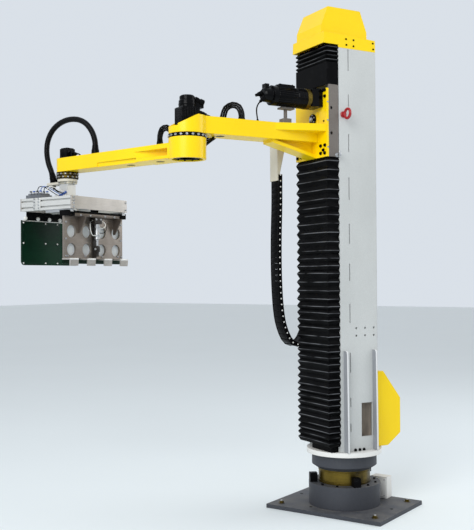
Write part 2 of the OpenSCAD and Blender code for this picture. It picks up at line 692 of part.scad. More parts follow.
// wrist hose in the forearm's frame: X along the forearm from the elbow axis
hose_gland_x = reach_fore - 215;
hose_gland_h = 34;
tool_gland_x = reach_fore + 107;
tool_gland_tilt = 22;
tool_gland_dir = [sin(tool_gland_tilt), 0, cos(tool_gland_tilt)];
plate_top = wrist_z - 14;
tool_gland_end = [tool_gland_x, 0, plate_top + 8] + (34 + gland_gap) * tool_gland_dir;
wrist_route = concat(
  [for (p = [[0, hose_gland_h + gland_gap], [1, 68], [14, 108], [40, 146], [80, 180], [138, 203],
    [213, 209], [284, 194], [340, 160], [374, 110], [382, 53]])
    [hose_gland_x + p[0], 0, beam_top + p[1]]],
  [tool_gland_end + 84 * tool_gland_dir + [4, 0, 0], tool_gland_end + 34 * tool_gland_dir,
    tool_gland_end]);
module wrist_hose() color([0.05, 0.05, 0.05]) on_elbow()
  tube(smooth(wrist_route, 3), wrist_hose_d / 2, [0, 1, 0], d1 = -tool_gland_dir);
module forearm_glands() color([0.08, 0.08, 0.08]) {
  on_elbow() translate([hose_gland_x, 0, beam_top])
    cylinder(d = wrist_hose_d + 12, h = hose_gland_h, $fn = 64);
  on_column() bundle_gland(on_fore([gland_on_fore[0], gland_on_fore[1], 0]), elbow_turn + 90, gland_h);
}

hose_plate_t = 12;
module tool_flange() color([0.86, 0.85, 0.8]) {
  on_wrist() translate([0, 0, plate_top]) cylinder(d = 105, h = 14 - turn_gap);
  // hose plate reaching past the wrist
  on_wrist() rotate([0, 0, -wrist_turn]) {
    box([-40, -32, plate_top - hose_plate_t], [tool_gland_x - reach_fore + 10, 32, plate_top]);
    translate([tool_gland_x - reach_fore + 10, 0, plate_top - hose_plate_t])
      cylinder(r = 32, h = hose_plate_t);
  }
}
module tool_gland() color([0.08, 0.08, 0.08]) on_wrist() rotate([0, 0, -wrist_turn])
  translate([tool_gland_x - reach_fore, 0, plate_top]) {
    cylinder(d = wrist_hose_d, h = 14, $fn = 64);
    translate([0, 0, 8]) rotate([0, tool_gland_tilt, 0]) cylinder(d = wrist_hose_d + 8, h = 34,
      $fn = 64);
  }

module tool_post() color([0.75, 0.76, 0.77]) on_wrist()
  box([-30, -30, frame_top], [30, 30, plate_top - hose_plate_t]);

slot_w = 8;
slot_d = 9;
module frame_profiles() color([0.75, 0.76, 0.77]) on_wrist() difference() {
  union() {
    for (x = [frame_lo_x, frame_hi_x - profile_w])
      box([x, frame_lo_y + 8, frame_z], [x + profile_w, frame_hi_y - 8, frame_top]);
    for (y = [-45, 15])
      box([frame_lo_x + profile_w - 1, y, frame_top - 30],
        [frame_hi_x - profile_w + 1, y + 30, frame_top]);
  }
  // two T slots along each outer face
  for (x = [frame_lo_x, frame_hi_x]) for (z = [0.25, 0.75] * frame_h) {
    box([x - slot_d, frame_lo_y, frame_z + z - slot_w / 2],
      [x + slot_d, frame_hi_y, frame_z + z + slot_w / 2]);
    box([x - (x > 0 ? slot_d : -slot_d / 2), frame_lo_y, frame_z + z - slot_w],
      [x + (x > 0 ? -slot_d / 2 : slot_d), frame_hi_y, frame_z + z + slot_w]);
  }
}

module frame_side_plates() color([0.78, 0.79, 0.8]) on_wrist()
  for (y = [frame_lo_y, frame_hi_y - 8])
    box([frame_lo_x, y, frame_z], [frame_hi_x, y + 8, frame_top]);

module jaw_rails() color([0.6, 0.61, 0.63]) on_wrist()
  for (x = [frame_lo_x, frame_hi_x - profile_w])
    box([x + profile_w / 2 - 10, jaw_y - jaw_travel - 60, frame_z - jaw_rail_h],
      [x + profile_w / 2 + 10, frame_hi_y - 10, frame_z]);

cyl_d = 40;
cyl_x = frame_off_x;
cyl_z = frame_top - 30 - cyl_d / 2;
cyl_front = jaw_y - jaw_travel - 20;
cyl_back = cyl_front - 200;
rod_d = 14;
module clamp_cylinder() color([0.7, 0.71, 0.72]) on_wrist()
  translate([cyl_x, cyl_back, cyl_z]) rotate([-90, 0, 0]) difference() {
    cylinder(d = cyl_d, h = cyl_front - cyl_back, $fn = 64);
    translate([0, 0, 12]) cylinder(d = rod_d + 2 * rod_clear, h = 200, $fn = 64);
  }
module clamp_rod() color([0.8, 0.81, 0.82]) on_wrist()
  translate([cyl_x, cyl_back + 12 + jaw_travel + 6, cyl_z]) rotate([-90, 0, 0])
    cylinder(d = rod_d, h = jaw_y + jaw_t - cyl_back - 18 - jaw_travel, $fn = 64);

pad_drop = 45;
pad_top = frame_z - pad_drop;
pad_r = 22;
module pad_hanger() color([0.6, 0.58, 0.54]) on_wrist()
  box([frame_lo_x + 36, pad_y + 2, pad_top], [frame_hi_x - 36, pad_y + pad_t - 2, frame_z]);
// green plate with rounded lower corners
module fixed_pad() color([0.04, 0.2, 0.1]) on_wrist() {
  box([frame_lo_x, pad_y, pad_top - pad_h + pad_r], [frame_hi_x, pad_y + pad_t, pad_top]);
  box([frame_lo_x + pad_r, pad_y, pad_top - pad_h],
    [frame_hi_x - pad_r, pad_y + pad_t, pad_top - pad_h + pad_r]);
  for (x = [frame_lo_x + pad_r, frame_hi_x - pad_r])
    translate([x, pad_y + pad_t, pad_top - pad_h + pad_r]) rotate([90, 0, 0])
      cylinder(r = pad_r, h = pad_t, $fn = 64);
}

module valve_block() color([0.3, 0.32, 0.35]) on_wrist()
  box([frame_hi_x - 92, -130, frame_top], [frame_hi_x - 10, -22, frame_top + 18]);

module jaw_carrier() color([0.08, 0.08, 0.08]) on_wrist() difference() {
  union() {
    for (x = [frame_lo_x, frame_hi_x - profile_w])
      box([x + profile_w / 2 - 24, jaw_y - 15, block_z],
        [x + profile_w / 2 + 24, jaw_y + 45, block_top]);
    box([frame_lo_x + 20, jaw_y + jaw_t, block_z], [frame_hi_x - 20, jaw_y + 42, block_top - 2]);
    box([cyl_x - 22, jaw_y + jaw_t, block_top - 4], [cyl_x + 22, jaw_y + jaw_t + 14, cyl_z + 16]);
  }
  for (x = [frame_lo_x, frame_hi_x - profile_w])
    box([x + profile_w / 2 - 10 - slide_gap, jaw_y - 20, frame_z - jaw_rail_h - slide_gap],
      [x + profile_w / 2 + 10 + slide_gap, jaw_y + 50, frame_z + 1]);
}

jaw_mid_x = frame_off_x - 6;
jaw_lo_x = jaw_mid_x - jaw_l / 2;
jaw_hi_x = jaw_mid_x + jaw_l / 2;
jaw_bottom = block_z - jaw_h;
jaw_face = jaw_y + jaw_t;
module jaw_plate() color([0.7, 0.71, 0.72]) on_wrist() {
  difference() {
    box([jaw_lo_x, jaw_y, jaw_bottom], [jaw_hi_x, jaw_face, block_z]);
    for (i = [-1.5 : 1 : 1.5]) for (z = [0.21, 0.64] * jaw_h)
      translate([jaw_mid_x + i * jaw_pitch, jaw_face + 1, jaw_bottom + z])
        rotate([90, 0, 0]) cylinder(d = jaw_hole_d, h = jaw_t + 2, $fn = 64);
  }
  // gussets under the carrier's bar
  for (x = [jaw_lo_x + 70, jaw_hi_x - 98])
    along_x([[jaw_face - 1, block_z], [jaw_y + 42, block_z], [jaw_face + 4, block_z - 84],
      [jaw_face - 1, block_z - 84]], x - 3, x + 3);
}
board_top = block_z - 40;
module jaw_sheet() color([0.75, 0.77, 0.78]) on_wrist()
  box([jaw_lo_x + 6, jaw_y - sheet_t, jaw_bottom + 6], [jaw_hi_x - 6, jaw_y, board_top]);
module jaw_board() color([0.04, 0.2, 0.1]) on_wrist()
  box([jaw_lo_x, jaw_y - sheet_t - board_t, jaw_bottom - 27],
    [jaw_hi_x, jaw_y - sheet_t, board_top]);

// drive of the lower claws in the middle of the jaw: rail, head block, cylinder, clevis and foot
claw_x = frame_off_x;
claw_y = jaw_face + 26;
module claw_drive() color([0.12, 0.12, 0.12]) on_wrist() {
  box([claw_x - 12, jaw_face, jaw_bottom + 4], [claw_x + 12, jaw_face + 10, block_z - 1]);
  box([claw_x - 26, jaw_face, block_z - 34], [claw_x + 26, jaw_face + 36, block_z - 1]);
  translate([claw_x, claw_y, jaw_bottom + 104]) cylinder(d = 22, h = jaw_h - 134, $fn = 48);
  translate([claw_x, claw_y, jaw_bottom + 60]) cylinder(d = 9, h = 50, $fn = 32);
  box([claw_x - 11, claw_y - 9, jaw_bottom + 36], [claw_x + 11, claw_y + 9, jaw_bottom + 64]);
  along_x([[jaw_face, jaw_bottom + 10], [jaw_face + 30, jaw_bottom + 10],
    [jaw_face + 30, jaw_bottom + 24], [claw_y + 6, jaw_bottom + 38], [jaw_face, jaw_bottom + 38]],
    claw_x - 8, claw_x + 8);
}

// bent claws under the lower edge of the plate
claw_reach = 62;
claw_drop = 38;
module jaw_fingers() color([0.8, 0.81, 0.82]) on_wrist() for (i = [-1.5 : 1 : 1.5])
  along_x([[jaw_y, jaw_bottom], [jaw_y + claw_reach, jaw_bottom],
    [jaw_y + claw_reach - 4, jaw_bottom - claw_drop],
    [jaw_y + claw_reach - 11, jaw_bottom - claw_drop],
    [jaw_y + claw_reach - 10, jaw_bottom - 7], [jaw_y, jaw_bottom - 7]],
    frame_off_x + i * finger_pitch - finger_w / 2, frame_off_x + i * finger_pitch + finger_w / 2);

base_plate();
base_drum();
stop_blocks();
slew_reducer();
junction_box();
turntable_flange();
mounting_disc();
column_side_walls();
column_end_walls();
column_ribs();
guide_rails();
bellows_foot();
lower_bellows();
upper_bellows();
top_cap();
rear_cover();
lifting_eyes();
chain_anchor();
guide_blocks();
carriage_side_plates();
carriage_front_plate();
carriage_top_cover();
upper_arm();
drive_hub();
lift_gearbox();
lift_motor();
elbow_ring();
elbow_motor();
arm_post();
chain_bracket();
drag_chain();
conduit_glands();
conduit_a();
conduit_b();
conduit_c();
forearm();
wrist_motor();
wrist_reducer();
forearm_glands();
wrist_hose();
tool_flange();
tool_gland();
tool_post();
frame_profiles();
frame_side_plates();
jaw_rails();
clamp_cylinder();
pad_hanger();
fixed_pad();
valve_block();
jaw_carrier();
jaw_plate();
jaw_sheet();
jaw_board();
claw_drive();
jaw_fingers();
clamp_rod();
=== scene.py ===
import bpy, bmesh, json, math
import numpy as np
from mathutils import Matrix, Vector


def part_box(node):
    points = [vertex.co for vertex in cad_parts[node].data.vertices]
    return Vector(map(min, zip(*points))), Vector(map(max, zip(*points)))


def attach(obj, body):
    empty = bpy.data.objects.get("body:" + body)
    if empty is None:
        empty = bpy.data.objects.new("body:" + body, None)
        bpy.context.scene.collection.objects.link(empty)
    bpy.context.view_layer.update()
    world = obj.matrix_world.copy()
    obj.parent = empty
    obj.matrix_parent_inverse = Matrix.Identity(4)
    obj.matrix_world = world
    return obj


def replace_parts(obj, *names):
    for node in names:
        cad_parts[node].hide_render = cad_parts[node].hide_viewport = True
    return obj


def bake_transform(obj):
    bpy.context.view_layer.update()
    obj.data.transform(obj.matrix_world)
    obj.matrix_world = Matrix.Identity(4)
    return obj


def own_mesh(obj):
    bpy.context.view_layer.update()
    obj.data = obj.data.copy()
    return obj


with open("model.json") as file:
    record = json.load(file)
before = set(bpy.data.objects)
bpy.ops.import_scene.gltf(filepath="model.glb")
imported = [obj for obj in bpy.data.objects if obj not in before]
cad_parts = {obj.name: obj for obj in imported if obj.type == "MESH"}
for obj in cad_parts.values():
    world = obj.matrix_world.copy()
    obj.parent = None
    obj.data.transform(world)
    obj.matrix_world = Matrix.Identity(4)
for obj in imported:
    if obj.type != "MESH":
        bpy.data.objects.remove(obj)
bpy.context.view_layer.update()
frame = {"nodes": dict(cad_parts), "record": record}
nodes = frame["nodes"]
print("frame loaded,", len(nodes), "nodes")

# the robot's own places at rest, metres and degrees
robot = {"columnTurn": -26.5, "elbowTurn": -67.0, "reachUpper": 0.893, "reachFore": 0.847,
         "halfWidth": 0.1415, "columnFront": 0.118, "frontX": 0.192, "armTop": 1.950, "armZ": 1.868,
         "elbowTop": 1.897, "ringZ": 1.846, "beamZ": 1.7497, "beamTop": 1.8217, "wristZ": 1.7137,
         "plateTop": 1.6997, "frameTop": 1.6047, "blockZ": 1.5047, "jawFace": 0.1635,
         "liftY": 0.062, "liftZ": 2.079}
alongX, alongY, alongZ, downZ = (1, 0, 0), (0, 1, 0), (0, 0, 1), (0, 0, -1)
bothSides = (1, -1)


# turn about Z as a 3 by 3 matrix
def turnZ(degrees):
    a = math.radians(degrees)
    return np.array([[math.cos(a), -math.sin(a), 0], [math.sin(a), math.cos(a), 0], [0, 0, 1]])


columnAxes = turnZ(robot["columnTurn"])
elbowAxes = turnZ(robot["columnTurn"] + robot["elbowTurn"])
elbowPoint = columnAxes @ np.array([robot["reachUpper"], 0, 0])
wristPoint = elbowPoint + elbowAxes @ np.array([robot["reachFore"], 0, 0])
places = {"base": (np.eye(3), np.zeros(3)), "column": (columnAxes, np.zeros(3)),
          "elbow": (elbowAxes, elbowPoint), "wrist": (np.eye(3), wristPoint)}


# point of a place's own frame in the row frame: axes times point, plus its origin
def toRow(place, points):
    axes, origin = places[place]
    return np.asarray(points, float) @ axes.T + origin


# a new object of the scene that shows this data
def newObject(name, data):
    made = bpy.data.objects.new(name, data)
    bpy.context.scene.collection.objects.link(made)
    return made


cameraSettings = {"place": (4.1190, 2.1681, 1.1808), "heading": 55.451, "pitch": 0.889, "roll": -0.331,
                  "focalPixels": 888.03, "photoPixels": 530, "sensor": 36, "far": 100}


# camera axes from heading and pitch, then turned about the view line by the roll
def placeCamera(s):
    a, p, r = (math.radians(s[k]) for k in ("heading", "pitch", "roll"))
    ahead = Vector((-math.sin(a) * math.cos(p), -math.cos(a) * math.cos(p), math.sin(p)))
    side = ahead.cross(Vector(alongZ)).normalized()
    top = side.cross(ahead)
    sideTurned = math.cos(r) * side + math.sin(r) * top
    topTurned = math.cos(r) * top - math.sin(r) * side
    cam = newObject("photoCamera", bpy.data.cameras.new("photoCamera"))
    cam.data.sensor_width = s["sensor"]
    cam.data.lens = s["focalPixels"] / s["photoPixels"] * s["sensor"]
    m = Matrix((sideTurned, topTurned, -ahead)).transposed().to_4x4()
    m.translation = Vector(s["place"])
    cam.matrix_world = m
    cam.data.clip_end = s["far"]
    bpy.context.scene.camera = cam


placeCamera(cameraSettings)
print("camera placed")


# a socket with the operators that the finishes use; each one adds a Math node
class Tone:
    def __init__(self, tree, socket):
        self.tree, self.socket = tree, socket

    # a link from a tone, or else a constant on the socket
    def plug(self, target, value):
        if isinstance(value, Tone):
            self.tree.links.new(value.socket, target)
        else:
            target.default_value = value

    # this value and another one through a Math node, in either order
    def maths(self, operation, other, swapped=False):
        pair = (other, self) if swapped else (self, other)
        return self.node("ShaderNodeMath", {"operation": operation}, dict(enumerate(pair)))

    def __add__(self, o): return self.maths("ADD", o)
    def __radd__(self, o): return self.maths("ADD", o, True)
    def __sub__(self, o): return self.maths("SUBTRACT", o)
    def __rsub__(self, o): return self.maths("SUBTRACT", o, True)
    def __mul__(self, o): return self.maths("MULTIPLY", o)
    def __rmul__(self, o): return self.maths("MULTIPLY", o, True)

    # any other node: its type, its settings first, then the values or links of its sockets
    def node(self, kind, settings={}, sockets={}, output=0):
        n = self.tree.nodes.new(kind)
        for k, v in settings.items():
            setattr(n, k, v)
        for k, v in sockets.items():
            self.plug(n.inputs[k], v)
        return Tone(self.tree, n.outputs[output])

    # soft value noise of the coordinates, stretched by one scale or by one for each axis
    def noise(self, scale, detail=3.0, rough=0.5):
        scales = np.broadcast_to(scale, 3).tolist()
        stretched = self.node("ShaderNodeVectorMath", {"operation": "MULTIPLY"}, {0: self, 1: scales})
        return self.node("ShaderNodeTexNoise", {}, {"Vector": stretched, "Scale": 1.0, "Detail": detail,
                                                    "Roughness": rough})

    # 0 below low, 1 above high, straight between
    def between(self, low, high):
        return self.node("ShaderNodeMapRange", {"clamp": True}, {0: self, 1: low, 2: high, 3: 0.0, 4: 1.0})

    # colour a where this value is 0, colour b where it is 1
    def mix(self, a, b):
        return self.node("ShaderNodeMix", {"data_type": "RGBA"}, {0: self, 6: a, 7: b}, 2)

    # cosine of the angle between two directions
    def dot(self, other):
        return self.node("ShaderNodeVectorMath", {"operation": "DOT_PRODUCT"}, {0: self, 1: other}, 1)

    # the normal, bent round every edge within a radius
    def roundEdge(self, radius):
        return self.node("ShaderNodeBevel", {"samples": 4}, {"Radius": radius})

    # this value as a height over the normal
    def bump(self, strength, depth, normal=None):
        sockets = {"Height": self, "Strength": strength, "Distance": depth}
        if normal is not None:
            sockets["Normal"] = normal
        return self.node("ShaderNodeBump", {}, sockets)


# screen colour 0 to 255 as the linear colour that a shader takes
def colour(r, g, b):
    return tuple(((c / 255 + 0.055) / 1.055) ** 2.4 if c > 10 else c / 255 / 12.92 for c in (r, g, b)) + (1.0,)


finishes = {}


# empty principled material; gives its shader, the object coordinates and the normal
def newFinish(name, **constants):
    m = bpy.data.materials.new(name)
    m.use_nodes = True
    shader = m.node_tree.nodes["Principled BSDF"]
    for k, v in constants.items():
        shader.inputs[k.replace("_", " ")].default_value = v
    where = m.node_tree.nodes.new("ShaderNodeTexCoord")
    finishes[name] = m
    return shader, Tone(m.node_tree, where.outputs["Object"]), Tone(m.node_tree, where.outputs["Normal"])


# links each tone to the shader's socket of that name
def feed(shader, **tones):
    for k, v in tones.items():
        v.tree.links.new(v.socket, shader.inputs[k.replace("_", " ")])


# enamel: two sizes of mottle in the colour, orange peel bump over rounded edges, rubbed edges, dust on top, and painted
# shade on faces square to a given direction
def enamel(name, main, shade, edge, rough, dust, peel=(900, 0.00012), coat=0.0, grit=0.5, gloss=0.4, sides=None):
    shader, at, normal = newFinish(name, Coat_Weight=coat, Coat_Roughness=0.12, Specular_IOR_Level=gloss)
    broad = at.noise((4, 4, 2.2), 4)
    fine = at.noise(420, 2)
    rounded = at.roundEdge(0.004)
    facing = rounded.dot(at.node("ShaderNodeNewGeometry", output=1))
    rubbed = (1 - facing).between(0.10, 0.30) * at.noise(60, 4).between(0.50, 0.62)
    body = (broad.between(0.3, 0.75) * 0.65 + fine.between(0.35, 0.7) * grit).mix(colour(*main), colour(*shade))
    up = at.node("ShaderNodeSeparateXYZ", {}, {0: normal}, 2).between(0.6, 1.0)
    dusty = up * at.noise(9, 5).between(0.35, 0.8) * dust
    body = dusty.mix(body, colour(150, 147, 140))
    body = (rubbed * 0.8).mix(body, colour(*edge))
    if sides is not None:   # faces square to a direction take a second tone
        # painted shade: faces square to the given direction take a second, darker tone
        across = normal.dot(sides[0]).maths("ABSOLUTE", 0.0)
        body = across.between(0.5, 0.8).mix(body, colour(*sides[1]))
    feed(shader, Base_Color=body, Roughness=rough + broad * 0.12 + dusty * 0.3,
         Normal=at.noise(peel[0], 1).bump(0.35, peel[1], rounded))


# moulded or cast: fine grain, paler scuffs, grease in patches
def cast(name, main, scuff, rough, gloss, grain=1600, depth=0.0001):
    shader, at, normal = newFinish(name, Specular_IOR_Level=gloss)
    grit = at.noise(grain, 2)
    rub = at.noise((35, 35, 22), 6, 0.62).between(0.55, 0.72)
    grease = at.noise(7, 3).between(0.45, 0.7)
    feed(shader, Base_Color=(rub * 0.5 + grit * 0.15).mix(colour(*main), colour(*scuff)),
         Roughness=rough + rub * 0.16 - grease * 0.14, Normal=grit.bump(0.3, depth, at.roundEdge(0.0025)))


# bare metal with a lay: fine lines along one axis, stains in patches
def brushed(name, main, shade, rough, lay, metal=0.9, patch=0.5):
    shader, at, normal = newFinish(name)
    lines = at.noise(lay, 3, 0.7)
    stain = at.noise((11, 11, 7), 5, 0.6)
    smear = at.noise((3, 3, 5), 3)
    body = (lines.between(0.3, 0.7) * 0.5 + stain.between(0.4, 0.75) * patch).mix(colour(*main), colour(*shade))
    feed(shader, Base_Color=body, Metallic=metal - stain.between(0.45, 0.8) * 0.15,
         Roughness=rough + lines * 0.14 + smear * 0.12, Normal=lines.bump(0.25, 0.0001, at.roundEdge(0.0015)))


# main colour, shade, rubbed edge, roughness, dust; then what differs from the usual coat
greyCoat = {"peel": (650, 0.0002), "grit": 0.75}
enamels = {
    "yellow_paint": ((255, 220, 0), (248, 206, 0), (255, 236, 96), 0.24, 0.15, {"coat": 0.08, "gloss": 0.3}),
    "column_grey": ((204, 207, 206), (184, 187, 186), (225, 226, 227), 0.42, 0.3, greyCoat),
    # ribs: a paler main tone as painted highlight on their outer edges, painted shade on the sides square to the
    # column's X
    "rib_grey": ((226, 228, 229), (210, 212, 213), (225, 226, 227), 0.42, 0.3,
                 {**greyCoat, "sides": (tuple(columnAxes[:, 0]), (146, 149, 154))}),
    "dark_grey_paint": ((66, 69, 76), (51, 53, 59), (118, 120, 124), 0.5, 0.35, {"peel": (420, 0.0004), "grit": 0.6}),
    "white_paint": ((236, 236, 233), (222, 222, 219), (200, 199, 194), 0.35, 0.25, {}),
    "ivory_paint": ((226, 222, 207), (208, 203, 188), (168, 162, 148), 0.4, 0.2, {}),
    "red_paint": ((174, 24, 32), (134, 12, 22), (214, 150, 140), 0.3, 0.15, {"coat": 0.3}),
    "plate_grey": ((120, 114, 108), (98, 92, 87), (160, 156, 150), 0.46, 0.2, {"peel": (500, 0.0002), "grit": 0.7})}
for name, row in enamels.items():
    enamel(name, *row[:5], **row[5])

# main colour, scuffs, roughness, gloss; then grain and its depth
castings = {"black_steel": ((9, 9, 10), (30, 30, 32), 0.4, 0.03, 1100),
            "motor_black": ((5, 5, 6), (18, 18, 21), 0.17, 0.1, 1500, 0.00015),
            "chain_black": ((8, 8, 9), (26, 26, 28), 0.34, 0.05, 1900),
            "valve_grey": ((86, 90, 97), (128, 131, 137), 0.42, 0.5),
            "pale_sheet": ((206, 211, 214), (186, 191, 195), 0.5, 0.5),
            "blue_fitting": ((40, 84, 170), (92, 126, 190), 0.35, 0.5),
            "white_nylon": ((232, 232, 228), (204, 203, 198), 0.45, 0.5),
            "blue_tube": ((60, 104, 178), (96, 136, 196), 0.3, 0.5)}
for name, row in castings.items():
    cast(name, *row)

# main colour, shade, roughness, scale of the lines; then metal and stains
metals = {"bright_steel": ((196, 198, 200), (150, 151, 152), 0.28, (30, 30, 700)),
          "aluminium": ((224, 224, 221), (194, 194, 191), 0.36, (500, 14, 500), 0.6, 0.3),
          "stainless": ((160, 151, 142), (112, 103, 95), 0.26, (14, 400, 700), 0.88),
          # a darker copy of stainless: painted shade for the jaw's gussets and lip
          "gusset_steel": ((122, 113, 105), (86, 78, 72), 0.3, (14, 400, 700), 0.85),
          "claw_steel": ((58, 53, 49), (30, 27, 25), 0.3, (30, 30, 400), 0.6),
          # a near-white copy of stainless: painted highlight on the bends of the claws
          "bend_steel": ((238, 238, 236), (216, 215, 212), 0.24, (14, 400, 700), 0.4, 0.3),
          "pale_stainless": ((202, 197, 191), (152, 146, 139), 0.27, (14, 400, 700), 0.75, 0.4),
          "reducer_gold": ((120, 101, 38), (44, 36, 14), 0.22, (12, 12, 900), 0.85, 0.9)}
for name, row in metals.items():
    brushed(name, *row)


# green board: smooth sheet with faint waviness, fine scratches along the slide, a darker cloudy tone
def greenBoard():
    shader, at, normal = newFinish("green_pad", Coat_Weight=0.03, Coat_Roughness=0.12, Specular_IOR_Level=0.14)
    cloud = at.noise(5, 4)
    scratch = at.noise((8, 90, 420), 5, 0.7).between(0.60, 0.66)
    body = cloud.between(0.3, 0.7).mix(colour(3, 46, 27), colour(1, 25, 15))
    feed(shader, Base_Color=(scratch * 0.2).mix(body, colour(46, 92, 70)),
         Roughness=0.26 + scratch * 0.25 + cloud * 0.1, Normal=cloud.bump(0.2, 0.0015))


# coated cloth: the ridge attribute places a painted highlight along each fold's ridge and smooths the cloth there, a
# fine weave stands in the bump
def bellowsCloth():
    shader, at, normal = newFinish("bellows_black", Specular_IOR_Level=0.04)
    ridge = at.node("ShaderNodeAttribute", {"attribute_name": "ridge"}, output=2)
    dust = at.noise((16, 16, 40), 5).between(0.45, 0.8)
    # painted highlight along the fold ridges, broken up by noise
    ridgeHighlight = ridge.between(0.88, 0.985) * at.noise((9, 9, 45), 3).between(0.34, 0.62)
    body = (ridgeHighlight * 0.85 + dust * 0.03).mix(colour(5, 5, 6), colour(116, 118, 122))
    feed(shader, Base_Color=body, Roughness=0.5 - ridgeHighlight * 0.15 + dust * 0.15,
         Normal=at.noise(1500, 1).bump(0.35, 0.0002))


# hose: rubber with long scuffs along its own length, read from its UV map
def hoseRubber():
    shader, at, normal = newFinish("hose_black", Specular_IOR_Level=0.12)
    along = at.node("ShaderNodeUVMap", {"uv_map": "run"})
    scuff = along.noise((14, 26, 1), 5, 0.6).between(0.55, 0.75)
    feed(shader, Base_Color=(scuff * 0.4).mix(colour(7, 7, 8), colour(32, 32, 34)), Roughness=0.22 + scuff * 0.25,
         Normal=at.noise(1300, 1).bump(0.2, 0.0001))


# inside of the column behind its windows: brown primer with lighter runs
def brownPrimer():
    shader, at, normal = newFinish("brown_primer")
    runs = at.noise((34, 34, 7), 4)
    patch = at.noise((14, 14, 10), 4)
    worn = runs.between(0.4, 0.7) * 0.6 + patch.between(0.45, 0.75) * 0.4
    feed(shader, Base_Color=worn.mix(colour(132, 121, 108), colour(94, 87, 79)), Roughness=0.55 + runs * 0.2,
         Normal=runs.bump(0.3, 0.001))


greenBoard()
bellowsCloth()
hoseRubber()
brownPrimer()
for part in frame["record"]["subparts"]:
    mesh = nodes[part["node"]].data
    mesh.materials.clear()
    mesh.materials.append(finishes[part["material_slot"]])
# four nodes look different from the slot that they share
for node, finish in (("frame_side_plates", "pale_stainless"), ("jaw_fingers", "pale_stainless"),
                     ("junction_box", "white_paint"), ("claw_drive", "claw_steel")):
    nodes[node].data.materials[0] = finishes[finish]
print(len(finishes), "finishes made")


# several shapes as one: each is points and a list of face arrays, the faces move up by the points before them
def together(shapes):
    count, points, faces = 0, [], []
    for p, fs in shapes:
        points.append(p)
        faces += [f + count for f in fs]
        count += len(p)
    return np.concatenate(points), faces


# a finished piece: its points go to the row frame, its faces are turned outwards, it rides on a body
def makePiece(name, place, shape, finish, body=None, sharp=35.0, outward=True):
    points, faces = shape
    mesh = bpy.data.meshes.new(name)
    mesh.from_pydata(toRow(place, points).tolist(), [], [q for f in faces for q in f.tolist()])
    if outward:
        b = bmesh.new()
        b.from_mesh(mesh)
        bmesh.ops.recalc_face_normals(b, faces=b.faces)
        b.to_mesh(mesh)
        b.free()
    mesh.shade_smooth()
    mesh.set_sharp_from_angle(angle=math.radians(sharp))
    mesh.materials.append(finishes[finish])
    piece = newObject(name, mesh)
    if body:
        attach(piece, body)
    return piece


# makePiece for one place and one body
def fitter(place, body):
    return lambda name, shape, finish, slot=None: makePiece(name, place, shape, finish, body)


# wall for an open sheet: offset 0 lays it to both sides, -1 to the back
def thicken(piece, name, thickness, offset):
    wall = piece.modifiers.new(name, "SOLIDIFY")
    wall.thickness, wall.offset = thickness, offset


# quads of a grid of rows by cols points; wrapped joins the last column to the first
def gridFaces(rows, cols, wrapped=False):
    r, c = np.meshgrid(np.arange(rows - 1), np.arange(cols if wrapped else cols - 1), indexing="ij")
    d = (c + 1) % cols
    return np.stack([r * cols + c, r * cols + d, (r + 1) * cols + d, (r + 1) * cols + c], -1).reshape(-1, 4)


# wrapped grid with one face over its first row and one over its last
def closedGrid(rows, cols):
    return [gridFaces(rows, cols, True), np.arange(cols - 1, -1, -1)[None], (np.arange(cols) + (rows - 1) * cols)[None]]


# faces of many copies: each copy's numbers move up by the size of a copy
def copyFaces(faces, copies, size):
    step = (np.arange(copies) * size)[:, None, None]
    return [(f[None] + step).reshape(-1, f.shape[1]) for f in faces]


# directions of length 1: each row over its own length
def unit(rows):
    rows = np.asarray(rows, float)
    return rows / np.linalg.norm(rows, axis=-1, keepdims=True)


# a line's direction and two more at right angles to it
def crossAxes(axis):
    a = unit(axis)
    u = unit(np.cross(a, alongZ if abs(a[2]) < 0.9 else alongX))
    return a, u, np.cross(a, u)


# turned shape: radius and height of the profile carried round an axis; both ends are closed by a fan
def turned(profile, centre=(0, 0, 0), axis=alongZ, sides=40):
    a, u, v = crossAxes(axis)
    r, h = np.asarray(profile, float).T
    t = np.arange(sides) * 2 * np.pi / sides
    ring = np.cos(t)[:, None] * u + np.sin(t)[:, None] * v
    points = (np.asarray(centre) + h[:, None, None] * a + r[:, None, None] * ring).reshape(-1, 3)
    points = np.concatenate([points, [np.asarray(centre) + h[0] * a, np.asarray(centre) + h[-1] * a]])
    k, n = np.arange(sides), len(points)
    low = np.stack([(k + 1) % sides, k, np.full(sides, n - 2)], -1)
    high = np.stack([k, (k + 1) % sides, np.full(sides, n - 1)], -1)
    high[:, :2] += (len(r) - 1) * sides
    return points, [gridFaces(len(r), sides, True), low, high]


# the same turned band at several starts along an axis
def bands(profile, starts, centre, axis, sides):
    return together([turned([(r, z + h) for r, h in profile], centre, axis, sides) for z in starts])


# block with round edges: a ball's directions, each pushed out to the corner of its own octant
def roundBlock(low, high, radius):
    low, high = np.asarray(low, float), np.asarray(high, float)
    radius = min(radius, 0.45 * float((high - low).min()))
    t = np.radians([4, 45, 86, 94, 135, 176, 184, 225, 266, 274, 315, 356])
    e = np.radians([-78, -42, -4, 4, 42, 78])[:, None]
    way = np.stack([np.cos(e) * np.cos(t), np.cos(e) * np.sin(t), np.sin(e) + 0 * t], -1).reshape(-1, 3)
    points = (low + high) / 2 + np.sign(way) * ((high - low) / 2 - radius) + way * radius
    return points, closedGrid(6, 12)


# plate with an outline in Y and Z: the outline, drawn in a little at both faces, carried along X
def edgePlate(outline, x, thick, soft):
    o = np.asarray(outline, float)
    small = o - unit(o - o.mean(0)) * soft
    rows = ((x - thick / 2, small), (x - thick / 2 + soft, o), (x + thick / 2 - soft, o), (x + thick / 2, small))
    points = np.concatenate([np.column_stack([np.full(len(o), a), r]) for a, r in rows])
    return points, closedGrid(4, len(o))


# the same shape at many spots: its own Z axis is laid along axis
def atSpots(shape, spots, axis):
    a, u, v = crossAxes(axis)
    points, faces = shape
    spots = np.asarray(spots, float)
    copies = (spots[:, None, :] + points @ np.stack([u, v, a])).reshape(-1, 3)
    return copies, copyFaces(faces, len(spots), len(points))


